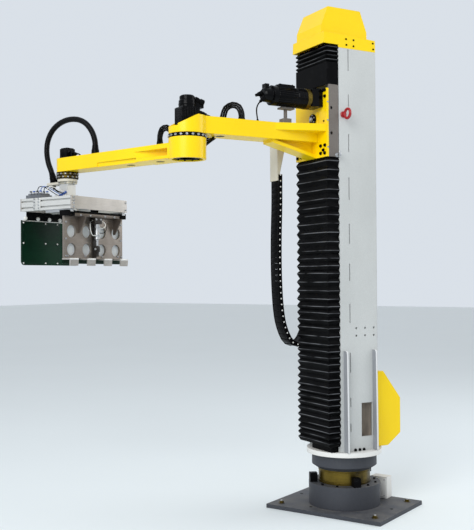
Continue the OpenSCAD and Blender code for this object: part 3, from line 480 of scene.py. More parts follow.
# socket head screw on a washer: rise of the washer, the head, a sunk socket
def screwHead(r, washer):
    h = 1.1 * r
    return turned([(washer * r, 0), (washer * r, 0.22 * r), (r, 0.24 * r), (r, h * 0.9), (0.88 * r, h),
                   (0.52 * r, h), (0.48 * r, 0.5 * h)], sides=16)


# socket head screws of one size at many spots
def screws(size, washer, spots, axis):
    return atSpots(screwHead(size, washer), spots, axis)


# screws at X and Z on both flanks, each facing out along Y
def flankScrews(size, washer, y, spots):
    return together([screws(size, washer, [(x, e * y, z) for x, z in spots], (0, e, 0)) for e in bothSides])


# spots on a level ring and the ways out from its centre: cosine and sine of each angle
def ringSpots(centre, radius, degrees):
    t = np.radians(degrees)
    out = np.stack([np.cos(t), np.sin(t), 0 * t], -1)
    return np.asarray(centre, float) + radius * out, out


# screws round a drum, each facing out from its centre
def ringScrews(size, washer, centre, radius, degrees):
    return together([screws(size, washer, [p], way) for p, way in zip(*ringSpots(centre, radius, degrees))])


# hexagon head or nut: a six sided prism with a chamfer, on a round washer
def hexHead(r, washer):
    nut = turned([(r, 0.2 * r), (r, 0.85 * r), (0.88 * r, 0.98 * r)], sides=6)
    return together([turned([(washer * r, 0), (washer * r, 0.2 * r)], sides=20), nut])


# cooling fins of a square motor: bars up each of its four faces, at steps along the face
def motorFins(centre, half, steps, s):
    blocks = []
    for y in steps:
        for e in bothSides:
            face = (e * half - s["finRoot"], e * half + s["finOut"])
            flank = (y - s["finHalf"], y + s["finHalf"])
            blocks += [roundBlock(centre + (p[0], q[0], s["finLow"]), centre + (p[1], q[1], s["finHigh"]), s["finRound"])
                       for p, q in ((face, flank), (flank, face))]
    return together(blocks)


# rubber grommet round a lead that goes into a face
def grommet(tip, foot):
    return turned([(0.0085, 0), (0.0085, 0.003), (0.006, 0.006), (tip, 0.012)], foot - (0, 0, 0.0012), sides=20)


# curve through given points, the same one as in the part's source: four weights of the neighbours
def smoothRoute(points, parts):
    p = np.asarray(points, float)
    i = np.arange(len(p) - 1)
    a, b, c, d = (v[:, None] for v in (p[np.maximum(i - 1, 0)], p[i], p[i + 1], p[np.minimum(i + 2, len(p) - 1)]))
    t = (np.arange(parts) / parts)[None, :, None]
    q = 0.5 * (2 * b + (c - a) * t + (2 * a - 5 * b + 4 * c - d) * t ** 2 + (3 * b - a - 3 * c + d) * t ** 3)
    return np.concatenate([q.reshape(-1, p.shape[1]), p[-1:]])


# short lead with a way out and a way in: a curve of four weights, pulled by reach along both ways
def leadRoute(start, way, end, endWay, reach):
    a, d = np.asarray(start, float), np.asarray(end, float)
    b, c = a + unit(way) * reach[0], d - unit(endWay) * reach[1]
    t = np.linspace(0, 1, 24)[:, None]
    return (1 - t) ** 3 * a + 3 * t * (1 - t) ** 2 * b + 3 * t ** 2 * (1 - t) * c + t ** 3 * d


# length of each step of a path
def stepLengths(path):
    return np.linalg.norm(np.diff(path, axis=0), axis=1)


# points at even steps along a path, and how far along each one is
def evenSteps(path, count):
    run = np.concatenate([[0], np.cumsum(stepLengths(path))])
    s = np.linspace(0, run[-1], count)
    return np.stack([np.interp(s, run, path[:, k]) for k in range(path.shape[1])], -1), s


# tube along a path: a ring at each point, square to the path, its radius given for each point
def tubeAlong(path, radius, side, sides):
    t = unit(np.gradient(path, axis=0))
    a = unit(side - t * (t @ np.asarray(side, float))[:, None])
    w = (np.arange(sides) * 2 * np.pi / sides)[None, :, None]
    ring = np.cos(w) * a[:, None] + np.sin(w) * np.cross(t, a)[:, None]
    return (path[:, None] + radius[:, None, None] * ring).reshape(-1, 3), closedGrid(len(path), sides)


# length along the hose and way round it, as the UV map that the rubber reads
def mapRun(piece, rows, sides, length):
    uv = piece.data.uv_layers.new(name="run")
    corner = np.zeros(len(piece.data.loops), np.int32)
    piece.data.loops.foreach_get("vertex_index", corner)
    run, way = corner // sides / (rows - 1) * length * 10, corner % sides / sides
    uv.data.foreach_set("uv", np.stack([run, way], -1).astype(np.float32).ravel())


# a ribbed or plain hose that prints its length; ribs: half a wave of depth at each pitch
def hosePiece(name, place, path, diameter, side, pitch=0.0, depth=0.0, finish="hose_black", sides=12, body=None):
    length = float(stepLengths(path).sum())
    count = int(length / (pitch / 5 if pitch else 0.006)) + 2
    even, s = evenSteps(path, count)
    radius = diameter / 2 - (depth * (0.5 + 0.5 * np.cos(2 * np.pi * s / pitch)) if pitch else 0 * s)
    piece = makePiece(name, place, tubeAlong(even, radius, side, sides), finish)
    mapRun(piece, count, sides, length)
    if body:
        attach(piece, body)
    print(name, "is %.3f m long" % length)
    return piece


# gland: washer, six sided nut, a long cap and a tapered sleeve that the hose leaves; shares of bore and height
def glandShape(bore, height):
    b, h = bore / 2, height
    return together([turned([(b * 1.5, 0), (b * 1.5, 0.08 * h)], sides=24),
                     turned([(b * 1.45, 0.08 * h), (b * 1.45, 0.24 * h), (b * 1.34, 0.28 * h)], sides=6),
                     turned([(b * 1.3, 0.28 * h), (b * 1.37, 0.32 * h), (b * 1.33, 0.86 * h),
                             (b * 1.2, 0.95 * h), (b * 1.12, 1.35 * h), (b * 1.03, 1.65 * h)], sides=24)])


conduitSettings = {"diameter": 0.0105, "pitch": 0.0042, "depth": 0.00015, "apart": 0.011, "across": 215,
                   "armGland": 0.014, "foreGland": 0.024, "armRise": 0.0142, "foreRise": 0.0242,
                   "sleeve": [(0, 4.6), (0.10, 4.6), (0.12, 4.0), (0.80, 3.6), (0.88, 2.4), (1.02, 2.0), (1.5, 0.7),
                              (1.62, 0.5)],   # share of the height, millimetres outside the bore
                   "onArm": [(-0.300, -0.010, 0.0142), (-0.300, -0.010, 0.038), (-0.2916, -0.0219, 0.0734),
                             (-0.2713, -0.0508, 0.088), (-0.2509, -0.0797, 0.0734), (-0.2425, -0.0916, 0.038),
                             (-0.236, -0.099, 0), (-0.212, -0.108, -0.046), (-0.172, -0.116, -0.084),
                             (-0.084, -0.123, -0.113)],
                   "onFore": [(0.124, -0.120, 0.004), (0.159, -0.108, 0.019), (0.174, -0.097, 0.054),
                              (0.174, -0.0824, 0.0854), (0.174, -0.047, 0.100), (0.174, -0.0116, 0.0854),
                              (0.174, 0.003, 0.050), (0.174, 0.003, 0.0242)]}


# sleeve for three conduits side by side: a rounded slot outline at each height, wider below, tapered above
def bundleSleeve(s, height):
    sides = 32
    t = np.arange(sides) * 2 * np.pi / sides
    levels = np.array(s["sleeve"])
    rise, more = levels[:, :1] * height, levels[:, 1:] * 0.001 + s["diameter"] / 2
    x = np.where(np.cos(t) > 0, 1.0, -1.0) * s["apart"] + more * np.cos(t)
    return np.stack([x, more * np.sin(t), rise + 0 * x], -1).reshape(-1, 3), closedGrid(len(levels), sides)


# the three conduits over the elbow: first points stand on the upper arm, the last on the forearm;
# each is moved from the middle line along the product of the across direction and the path's own
def elbowConduits(s):
    arm = np.array(s["onArm"]) + (robot["reachUpper"], 0, robot["armTop"])
    fore = np.array(s["onFore"]) @ turnZ(robot["elbowTurn"]).T + (robot["reachUpper"], 0, robot["beamTop"])
    route = np.concatenate([arm, fore])
    i, last = np.arange(len(route)), len(route) - 1
    a = np.radians(s["across"] + (robot["elbowTurn"] + 360 - s["across"]) * i / last)   # turns evenly to the forearm's way
    across = np.stack([np.cos(a), np.sin(a), 0 * a], -1)
    n = unit(np.cross(across, route[np.minimum(i + 1, last)] - route[np.maximum(i - 1, 0)]))
    for k, letter in enumerate("abc"):
        path = smoothRoute(route + (k - 1) * s["apart"] * n, 2)
        hose = hosePiece("elbowConduit" + letter.upper(), "column", path, s["diameter"], across[len(arm) - 1],
                         s["pitch"], s["depth"], sides=14)
        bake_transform(hose)   # one gap for all
        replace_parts(hose, "conduit_" + letter)
    for name, foot, side, height, body, node in (
            ("armSleeve", arm[0] - (0, 0, s["armRise"]), n[0], s["armGland"], "carriage", "conduit_glands"),
            ("foreSleeve", fore[-1] - (0, 0, s["foreRise"]), n[-1], s["foreGland"], "forearm", "forearm_glands")):
        points, faces = bundleSleeve(s, height)
        axes = np.stack([side, np.cross(alongZ, side), alongZ])
        piece = makePiece(name, "column", (points @ axes + foot, faces), "chain_black", body)
        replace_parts(piece, node)


elbowConduits(conduitSettings)

hoseSettings = {"diameter": 0.030, "pitch": 0.0055, "depth": 0.0009, "tilt": 22.0, "foreX": 0.632, "toolX": 0.954,
                "bore": 0.98, "foreGland": 0.034, "toolGland": 0.030, "rise": 0.0342, "seat": 0.008, "stand": 0.009,
                "straight": (0.084, 0.034), "swing": 0.004, "nut": [(0.019, 0), (0.019, 0.009), (0.016, 0.012)],
                "loop": [(0, 0.0342), (0.001, 0.068), (0.014, 0.108), (0.040, 0.146), (0.080, 0.180), (0.138, 0.203),
                         (0.213, 0.209), (0.284, 0.194), (0.340, 0.160), (0.374, 0.110), (0.382, 0.053)]}


# the hose over the wrist, in the forearm's plane, ending in a tilted gland on the tool's plate
def wristHose(s):
    loop = np.array([(s["foreX"] + x, 0, robot["beamTop"] + z) for x, z in s["loop"]])
    lean = np.array([math.sin(math.radians(s["tilt"])), 0, math.cos(math.radians(s["tilt"]))])
    end = np.array([s["toolX"], 0, robot["plateTop"] + s["seat"]]) + s["rise"] * lean
    far, near = s["straight"]
    path = smoothRoute(np.concatenate([loop, [end + far * lean + (s["swing"], 0, 0), end + near * lean, end]]), 3)
    hose = hosePiece("wristHose", "elbow", path, s["diameter"], alongY, s["pitch"], s["depth"], sides=20)
    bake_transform(hose)
    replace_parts(hose, "wrist_hose")
    bore, top = s["diameter"] * s["bore"], robot["plateTop"]
    gland = atSpots(glandShape(bore, s["foreGland"]), [(s["foreX"], 0, robot["beamTop"])], alongZ)
    makePiece("hoseGland", "elbow", gland, "chain_black", "forearm")
    tilted = together([turned(s["nut"], (s["toolX"], 0, top), sides=6),
                       atSpots(glandShape(bore, s["toolGland"]), [(s["toolX"], 0, top + s["stand"])], lean)])
    toolGland = makePiece("toolGland", "elbow", tilted, "chain_black", "tool")
    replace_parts(toolGland, "tool_gland")


wristHose(hoseSettings)
print("hoses laid")

bellowsSettings = {"foldDepth": 0.011, "low": 0.340, "lowerTop": 1.788, "upperLow": 2.262, "upperTop": 2.354,
                   "lowerFolds": 38, "upperFolds": 4, "bow": 0.0022, "keep": 294 / 1448, "cloth": 0.0014,
                   "uneven": 0.0011, "stagger": 0.12, "droop": 0.0016, "gap": 0.0005, "tighter": 0.22,
                   "share": [0, 0.12, 0.3, 0.44, 0.5, 0.56, 0.7, 0.88], "sideSteps": 9, "frontSteps": 25}


# folded cloth on three sides: rows go up the folds, columns go round from one column edge to the other;
# each row is drawn in from the outer line by a zigzag with soft creases; sines of the fold's number make folds differ
def bellowsSheet(name, zLow, zHigh, folds, tighter, s):
    phase = np.concatenate([(np.arange(folds)[:, None] + s["share"]).ravel(), [folds]])
    k = np.floor(phase)
    part, v = phase - k, phase / folds
    wave = np.abs(1 - 2 * part)
    uneven = s["uneven"] * (0.5 + 0.5 * np.sin(12.9898 * k + 1.7))
    ins = ((s["foldDepth"] - uneven) * wave ** 1.15 + uneven)[:, None]
    z = zLow + (zHigh - zLow) * (v * (1 - tighter) + tighter * v * v)
    z = z + s["stagger"] * (zHigh - zLow) / folds * np.sin(7.31 * k + 2.0) * np.sin(np.pi * part)
    x0, x1, y1 = robot["columnFront"] + s["gap"], robot["frontX"] - ins, robot["halfWidth"] - ins
    side, front = np.linspace(0, 1, s["sideSteps"]), np.linspace(0, 1, s["frontSteps"])
    sag = s["bow"] * (1 - (2 * front - 1) ** 2)
    x = np.concatenate([x0 + (x1 - x0) * side, x1 - sag, x0 + (x1 - x0) * side[::-1]], 1)
    y = np.concatenate([y1 + 0 * side, y1 * (1 - 2 * front), 0 * side - y1], 1)
    round3 = np.sin(np.pi * np.concatenate([side * 0, front, side * 0]))
    droop = s["droop"] * (np.sin(3.7 * k + 0.6) * np.sin(np.pi * v))[:, None] * round3
    points = np.stack([x, y, z[:, None] + droop], -1).reshape(-1, 3)
    piece = makePiece(name, "column", (points, [gridFaces(*x.shape)]), "bellows_black", sharp=60, outward=False)
    ridge = piece.data.attributes.new("ridge", "FLOAT", "POINT")
    ridge.data.foreach_set("value", np.repeat(1 - wave, x.shape[1]).astype(np.float32))
    thicken(piece, "cloth", s["cloth"], -1)
    return piece


# both bellows: the lower one rides on the column with a mesh of its own, the upper one hangs between cap and carriage
def bothBellows(s):
    lower = bellowsSheet("lowerBellows", s["low"], s["lowerTop"], s["lowerFolds"], s["tighter"], s)
    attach(lower, "column")
    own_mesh(lower)
    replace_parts(lower, "lower_bellows")
    upper = bellowsSheet("upperBellows", s["upperLow"], s["upperTop"], s["upperFolds"], 0.0, s)
    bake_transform(upper)
    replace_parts(upper, "upper_bellows")


bothBellows(bellowsSettings)
print("bellows folded")

chainSettings = {"pitch": 0.0305, "height": 0.026, "width": 0.075, "y": -0.2225, "plate": 0.0045, "inner": 1.3,
                 "plateGap": 0.0018, "innerGap": 0.0002, "barGap": 0.004, "barIn": 0.003, "barHalf": 0.0016,
                 "moving": (-0.044, 1.720), "fixed": (1.180, 0.496),   # heights where each leg's blend starts and ends
                 "pin": [(0.0042, 0), (0.0042, 0.0008), (0.0032, 0.0016)],
                 "route": [(0.285, 1.720), (0.285, 1.680), (0.286, 1.558), (0.291, 1.402), (0.292, 1.252),
                           (0.288, 1.120), (0.281, 1.030), (0.270, 0.960), (0.250, 0.900), (0.222, 0.855),
                           (0.185, 0.838), (0.148, 0.855), (0.120, 0.900), (0.100, 0.960), (0.089, 1.030),
                           (0.085, 1.100), (0.085, 1.180)]}


# chain of links: each link's plates and bars are laid at one point of the route, along its direction
def dragChain(s):
    path = smoothRoute(s["route"], 12)
    p, h, w, inner = s["pitch"], s["height"] / 2, s["width"], s["plate"] * s["inner"]
    link = together(
        [roundBlock((-0.64 * p, y, -h), (0.64 * p, y + s["plate"], h), 0.0018)
         for y in (s["plateGap"], w - s["plateGap"] - s["plate"])]
        + [roundBlock((-0.36 * p, y, -h * 0.8), (0.36 * p, y + inner, h * 0.8), 0.0015)
           for y in (s["innerGap"], w - s["innerGap"] - inner)]
        + [roundBlock((-0.485 * p, s["barGap"], z - s["barHalf"]), (0.485 * p, w - s["barGap"], z + s["barHalf"]), 0.001)
           for z in (s["barIn"] - h, h - s["barIn"])])
    pin = turned(s["pin"], sides=12)
    half = np.argmin(path[:, 1])
    for name, leg, (low, high) in (("Moving", path[:half + 1], s["moving"]), ("Fixed", path[half:], s["fixed"])):
        count = max(2, int(round(stepLengths(leg).sum() / p)))
        even, run = evenSteps(leg, 2 * count + 1)
        mid, way = even[1::2], unit(even[2::2] - even[:-2:2])
        across = np.stack([-way[:, 1], way[:, 0]], -1)

        # points of one link at every link's place: middle, plus x along the route, plus z across it
        def laid(points):
            xz = mid[:, None] + points[None, :, :1] * way[:, None] + points[None, :, 2:] * across[:, None]
            y = np.broadcast_to(s["y"] + points[None, :, 1], xz.shape[:2])
            return np.stack([xz[..., 0], y, xz[..., 1]], -1).reshape(-1, 3)

        links = laid(link[0]), copyFaces(link[1], count, len(link[0]))
        pins = together([atSpots(pin, laid(np.array([[-0.5 * p, y, 0]])), (0, e, 0))
                         for y, e in ((s["innerGap"], -1), (w - s["innerGap"], 1))])
        body = makePiece("chain" + name, "column", links, "chain_black")
        dots = makePiece("chainPins" + name, "column", pins, "white_nylon")
        for piece in (body, dots):
            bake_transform(piece)
        if name == "Moving":
            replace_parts(body, "drag_chain")


dragChain(chainSettings)
print("chain linked")

baseSettings = {"anchors": [(x, y, 0.02) for x in (-0.19, 0.19) for y in (-0.265, 0.265)],
                "holes": [(-0.036, -0.278, 0.02), (0.177, -0.099, 0.02), (-0.007, 0.262, 0.02), (-0.2, 0.0, 0.02)],
                "box": ((-0.245, 0.062, 0.02), (-0.185, 0.152, 0.132)), "lid": 0.004, "glandZ": 0.05,
                "stud": [(0.0062, -0.018), (0.0062, 0.0145), (0.0050, 0.016)],
                "hole": [(0.0085, -0.0002), (0.0085, 0.0006), (0.0066, 0.0006), (0.0062, 0.0002)],
                "drumRing": 0.162, "drumTop": 0.134, "drumDegrees": [d for d in range(15, 360, 30) if d not in (45, 315)],
                "band": [(0.1325, 0), (0.1345, 0.001), (0.1345, 0.005), (0.1325, 0.006)], "bandZ": (0.1405, 0.1935)}


# small pieces on the base: anchor studs with nuts, black discs as painted shade in the sunk holes, lid and screws of
# the junction box, drum's screws and bands
def baseParts(s):
    fit = fitter("base", "base")
    fit("anchorNuts", atSpots(hexHead(0.0115, 1.5), s["anchors"], alongZ), "reducer_gold")
    fit("anchorStuds", atSpots(turned(s["stud"], sides=20), s["anchors"], alongZ), "bright_steel")
    # black discs: painted shade in the sunk holes
    fit("plateHoles", atSpots(turned(s["hole"], sides=24), s["holes"], alongZ), "black_steel")
    low, high = (np.array(v) for v in s["box"])
    face = high[0] + s["lid"]
    lid = roundBlock((high[0] - 0.001, low[1] + 0.003, low[2] + 0.006), (face, high[1] - 0.003, high[2] - 0.004), 0.003)
    fit("boxLid", lid, "white_paint")
    corners = [(face, y, z) for y in (low[1] + 0.012, high[1] - 0.012) for z in (low[2] + 0.016, high[2] - 0.014)]
    fit("boxScrews", screws(0.003, 1.2, corners, alongX), "bright_steel")
    inlet = [((low[0] + high[0]) / 2, low[1] + 0.001, s["glandZ"])]
    fit("boxGland", atSpots(glandShape(0.012, 0.016), inlet, (0, -1, 0)), "chain_black")
    heads = ringSpots((0, 0, s["drumTop"]), s["drumRing"], s["drumDegrees"])[0]
    fit("drumScrews", screws(0.006, 1.2, heads, alongZ), "black_steel")
    fit("reducerBands", bands(s["band"], s["bandZ"], (0, 0, 0), alongZ, 96), "reducer_gold")


baseParts(baseSettings)

columnSettings = {"footBolts": [(0.032, 0.316), (0.005, 0.3155), (-0.021, 0.315)],
                  "capBolts": [(0.071, 2.387), (0.025, 2.387), (0.069, 2.358), (0.025, 2.356), (-0.097, 2.385),
                               (-0.099, 2.355)],
                  "coverBolts": [(-0.118, z) for z in (0.36, 0.44, 0.52, 0.60, 0.67)], "coverSide": 0.112,
                  "ribs": (-0.084, 0.095), "ribThick": 0.010, "ribSlim": 0.49,
                  "windowX": (-0.086, -0.002), "windowZ": (0.372, 0.562), "windowY": 0.106, "wall": 0.003,
                  "collar": [(0.016, 0), (0.016, 0.004), (0.0145, 0.0055)], "eye": (0.093, 2.003)}


# screws on both sides of the column and the cap, foot ribs, flanges of the rear cover, panels behind the windows
def columnParts(s):
    fit, h = fitter("column", "column"), robot["halfWidth"]
    fit("footBolts", flankScrews(0.0062, 1.3, h, s["footBolts"]), "black_steel")
    fit("capBolts", flankScrews(0.0038, 1.3, h, s["capBolts"]), "black_steel")
    low, high = (corner[2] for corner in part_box("column_ribs"))
    root, foot = h - 0.001, low + 0.0004
    edge = [(root, foot), (h + 0.034, foot), (h + 0.028, high - 0.016), (h + 0.0255, high - 0.006), (h + 0.019, high),
            (root, high)]
    slim = [(root, foot), (h + 0.027, foot), (h + 0.027, low + 0.06), (h + 0.003, s["ribSlim"]), (h + 0.003, high),
            (root, high)]   # the front rib on the chain's side
    ribs = together([edgePlate([(e * y, z) for y, z in (slim if x > 0 > e else edge)], x, s["ribThick"], 0.0008)
                     for x in s["ribs"] for e in bothSides])
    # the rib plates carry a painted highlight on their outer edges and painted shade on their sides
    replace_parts(fit("columnRibPlates", ribs, "rib_grey", "column_grey"), "column_ribs")
    flanges = [roundBlock((-0.1245, e * 0.1 - 0.012, 0.318), (-0.1125, e * 0.1 + 0.012, 0.694), 0.002) for e in bothSides]
    fit("coverFlanges", together(flanges), "yellow_paint")
    fit("coverScrews", flankScrews(0.0042, 1.3, s["coverSide"], s["coverBolts"]), "black_steel")
    (x0, x1), (z0, z1) = s["windowX"], s["windowZ"]
    v, u = np.meshgrid(np.linspace(z0, z1, 40), np.linspace(x0, x1, 30), indexing="ij")
    across, up = (2 * u - x0 - x1) / (x1 - x0), (2 * v - z0 - z1) / (z1 - z0)
    for letter, e in zip("LR", bothSides):
        y = e * (s["windowY"] + 0.014 * across ** 4 + 0.010 * up ** 6)   # shallow pan: flat middle, walls turned out
        pan = np.stack([u, y, v], -1).reshape(-1, 3), [gridFaces(*u.shape)]
        panel = makePiece("windowPanel" + letter, "column", pan, "brown_primer", "column", outward=False)
        thicken(panel, "wall", s["wall"], 0)
    collar, (x, z) = turned(s["collar"], sides=24), s["eye"]
    fit("eyeCollars", together([atSpots(collar, [(x, e * h, z)], (0, e, 0)) for e in bothSides]), "red_paint")


columnParts(columnSettings)
print("base and column fitted")

carriageSettings = {"lowBolts": [(0.089, 1.845), (0.126, 1.845), (0.112, 1.822), (0.089, 1.808), (0.124, 1.806)],
                    "highBolts": [(0.128, 2.090), (0.111, 2.121), (0.128, 2.121), (-0.111, 2.121), (-0.128, 2.09)],
                    "smallBolts": [(0.117, 1.967), (-0.117, 1.967)], "hub": (0.028, 1.986), "hubRing": 0.021,
                    "hubFace": 0.012, "nutFace": 0.016, "fitting": (0.132, 1.797), "elbowOut": 0.024,
                    "edgeScrews": [(0.186, 1.969), (0.186, 1.835), (0.186, 2.06)],
                    "nipple": [(0.005, 0.006), (0.005, 0.02), (0.0075, 0.021), (0.0075, 0.03), (0.006, 0.031)],
                    "riser": [(0.0046, -0.012), (0.0046, 0.01), (0.0066, 0.011), (0.0066, 0.019)]}


# bolts of the carriage's plates, screws and nut of the hub, a fitting on its side
def carriageParts(s):
    fit, x, h = fitter("column", "carriage"), robot["frontX"], robot["halfWidth"]
    bolts = [(x, e * y, z) for y, z in s["lowBolts"] for e in bothSides] + [(x, y, z) for y, z in s["highBolts"]]
    fit("plateBolts", screws(0.0072, 1.25, bolts, alongX), "black_steel")
    fit("plateScrews", screws(0.004, 1.2, [(x, y, z) for y, z in s["smallBolts"]], alongX), "black_steel")
    fit("edgeScrews", flankScrews(0.0034, 1.3, h, s["edgeScrews"]), "bright_steel")
    y, z = s["hub"]
    t = np.radians(np.arange(20, 380, 60))
    ring = np.stack([x + s["hubFace"] + 0 * t, y + s["hubRing"] * np.cos(t), z + s["hubRing"] * np.sin(t)], -1)
    fit("hubScrews", screws(0.0035, 1.2, ring, alongX), "bright_steel")
    fit("hubNut", atSpots(hexHead(0.009, 1.3), [(x + s["nutFace"], y, z)], alongX), "bright_steel")
    x, z = s["fitting"]
    fit("sideFitting", together([atSpots(hexHead(0.008, 1.4), [(x, h, z)], alongY), turned(s["nipple"], (x, h, z), alongY, 18),
                                 turned(s["riser"], (x, h + s["elbowOut"], z), alongZ, 18)]), "bright_steel")


carriageParts(carriageSettings)

liftSettings = {"start": 0.278, "ribs": 26, "ribStart": 0.058, "bare": 0.62, "ringX": 0.2545, "boltX": 0.2542,
                "boltOut": 0.0405, "rib": ((-0.0022, 0.0445, 0), (0.0022, 0.0488, 0.104), 0.0012),
                "ring": [(0.0500, 0.0), (0.0514, 0.001), (0.0514, 0.009), (0.0506, 0.010), (0.0506, 0.013),
                         (0.0514, 0.014), (0.0514, 0.022), (0.05, 0.023)],
                "groove": [(0.0493, 0), (0.0503, 0.001), (0.0503, 0.005), (0.0493, 0.006)],
                "plug": [(0.010, 0), (0.0125, 0.002), (0.0125, 0.014), (0.011, 0.016), (0.011, 0.026), (0.0082, 0.029),
                         (0.0068, 0.042)],
                "lidX": 0.348, "lidLong": 0.082, "lidTop": 0.0585, "plugSpot": (0.506, 0.010, -0.012),
                "plugWay": (0.75, 0.1, -0.65), "leadStart": 0.038, "leadEnd": (-0.008, 0.032, 1.951)}


# ribs along the motor's body, a machined ring at the gearbox, cooling grooves, connectors on the end
def liftMotorParts(s):
    fit, c = fitter("column", "carriage"), np.array([0, robot["liftY"], robot["liftZ"]])
    t = np.arange(s["ribs"]) * 2 * np.pi / s["ribs"]
    keep = np.abs((t + np.pi / 2) % (2 * np.pi) - np.pi) > s["bare"]   # none under the terminal box
    points, faces = roundBlock(*s["rib"])
    shapes = []
    for a in t[keep]:
        q = points @ turnZ(math.degrees(a)).T   # rib's own frame turned round the shaft
        shapes.append((np.stack([q[:, 2] + s["start"] + s["ribStart"], q[:, 0], q[:, 1]], -1) + c, faces))
    fit("liftMotorRibs", together(shapes), "motor_black")
    fit("gearboxRing", turned(s["ring"], c + (s["ringX"], 0, 0), alongX, 64), "reducer_gold")
    spots = [c + (s["boltX"], s["boltOut"] * a, s["boltOut"] * b) for a in (-1, 1) for b in (-0.86, 1)]
    fit("gearboxBolts", screws(0.0042, 1.2, spots, alongX), "black_steel")
    x, top = s["lidX"], s["lidTop"]
    corners = [c + (x + s["lidLong"] * i, 0.017 * j, top) for i in (0.06, 0.94) for j in (-1, 1)]
    lid = roundBlock(c + (x, -0.021, top - 0.004), c + (x + s["lidLong"], 0.021, top), 0.0015)
    fit("terminalLid", together([lid, screws(0.0022, 1.2, corners, alongZ)]), "motor_black")
    fit("motorFlangeRings", bands(s["groove"], (0.006, 0.020, 0.034), c + (s["start"], 0, 0), alongX, 64), "motor_black")
    fit("liftMotorPlugs", together([turned(s["plug"], c + s["plugSpot"], s["plugWay"], 22),
                                    turned(s["plug"], c + (0.504, -0.014, 0.012), (0.92, -0.15, -0.36), 22)]), "chain_black")
    first = c + s["plugSpot"] + s["leadStart"] * np.array(s["plugWay"])
    lead = leadRoute(first, s["plugWay"], np.array(s["leadEnd"]) + (first[0], 0, 0), downZ, (0.055, 0.035))
    hosePiece("liftMotorLead", "column", lead, 0.0068, alongY, body="carriage")
    fit("leadGrommet", grommet(0.0046, lead[-1]), "chain_black")


liftMotorParts(liftSettings)

elbowSettings = {"half": 0.045, "finRoot": 0.0025, "finOut": 0.0035, "finHalf": 0.0032, "finLow": 0.012, "finHigh": 0.088,
                 "finRound": 0.0012, "finSpread": 0.034, "fins": 6, "cornerOut": 0.038, "cornerTop": 0.0942,
                 "boltRing": 0.0888, "bolts": 20, "boltDrop": -0.042,
                 "band": [(0.0415, 0.104), (0.0422, 0.106), (0.0422, 0.112), (0.0415, 0.114)],
                 "upper": [(0.0130, 0), (0.0150, 0.002), (0.0150, 0.018), (0.0128, 0.020), (0.0128, 0.026),
                           (0.0160, 0.028), (0.0160, 0.046), (0.012, 0.049)],
                 "lower": [(0.0105, 0), (0.0120, 0.002), (0.0120, 0.022), (0.0104, 0.024), (0.0104, 0.036),
                           (0.0082, 0.039), (0.0066, 0.050)],
                 "lowerWay": (-0.97, -0.1, -0.12), "leadStart": 0.046, "holeBack": 0.174,
                 "lip": [(0.0885, 0.0146), (0.0915, 0.0154), (0.0915, 0.0172), (0.0885, 0.018)],
                 "hole": [(0.0226, 0.0), (0.0226, 0.002), (0.018, 0.003), (0.017, 0.0035)],
                 "under": [(0.744, 1.8685), (0.748, 1.858), (0.760, 1.846), (0.775, 1.834), (0.791, 1.822), (0.8065, 1.811)]}


# fins on the motor's four faces, its plugs and lead, bolts round the elbow ring, plug in the arm's hole, cable below
def elbowParts(s):
    fit, o = fitter("column", "carriage"), np.array([robot["reachUpper"], 0, robot["elbowTop"]])
    steps = np.linspace(-s["finSpread"], s["finSpread"], s["fins"])
    fit("elbowMotorFins", motorFins(o, s["half"], steps, s), "motor_black")
    corners = [o + (e * s["cornerOut"], f * s["cornerOut"], s["cornerTop"]) for e in bothSides for f in bothSides]
    fit("elbowMotorBolts", screws(0.0034, 1.2, corners, alongZ), "black_steel")
    fit("elbowMotorBand", turned(s["band"], o, sides=48), "motor_black")
    second = o + (-0.046, 0.014, 0.074)
    fit("elbowPlugs", together([turned(s["upper"], o + (-0.036, 0.006, 0.136), (-0.93, 0.1, -0.34), 26),
                                turned(s["lower"], second, s["lowerWay"], 26)]), "chain_black")
    out = second + s["leadStart"] * np.array(s["lowerWay"])
    lead = smoothRoute([out, out + (-0.022, -0.002, -0.004), out + (-0.038, -0.004, -0.013),
                        (out[0] - 0.0475, -0.0125, 1.9522), (out[0] - 0.049, -0.012, 1.9505)], 4)
    hosePiece("elbowMotorLead", "column", lead, 0.0062, alongY, body="carriage")
    fit("elbowGrommet", grommet(0.0044, lead[-1]), "chain_black")
    degrees = (np.arange(s["bolts"]) + 0.5) * 360 / s["bolts"]
    fit("elbowRingBolts", ringScrews(0.0052, 1.15, o + (0, 0, s["boltDrop"]), s["boltRing"], degrees), "bright_steel")
    fit("elbowRingLip", turned(s["lip"], (o[0], 0, robot["ringZ"]), sides=96), "black_steel")
    fit("armHolePlug", turned(s["hole"], (o[0] - s["holeBack"], 0, robot["armZ"] + 0.0008), sides=40), "black_steel")
    under = smoothRoute([(x, -0.020, z) for x, z in s["under"]], 3)
    cable = hosePiece("underCable", "column", under, 0.0130, alongY, sides=14)
    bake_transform(cable)


elbowParts(elbowSettings)

foreSettings = {"drum": (0.0742, 1.7457), "drumRing": 0.06, "openings": (0.205, 0.44), "half": 0.028, "fins": 5,
                "finRoot": 0.0025, "finOut": 0.0026, "finHalf": 0.0022, "finLow": 0.010, "finHigh": 0.044, "finRound": 0.001,
                "finSpread": 0.020, "opening": [(0.0216, 0.0), (0.0216, 0.002), (0.017, 0.003)],
                "foot": 0.034, "cap": 0.0245, "plugZ": 0.022, "bolts": 14, "boltRing": 0.0548,
                "boltRows": ((0.026, 0), (0.0095, 0.5)),   # height, turn in steps
                "plug": [(0.0075, 0), (0.009, 0.0015), (0.009, 0.012), (0.0075, 0.014), (0.006, 0.022)],
                "band": [(0.0549, 0), (0.0572, 0.0008), (0.0572, 0.0045), (0.0549, 0.0053)],
                "bandZ": (0.0005, 0.0155, 0.0305)}
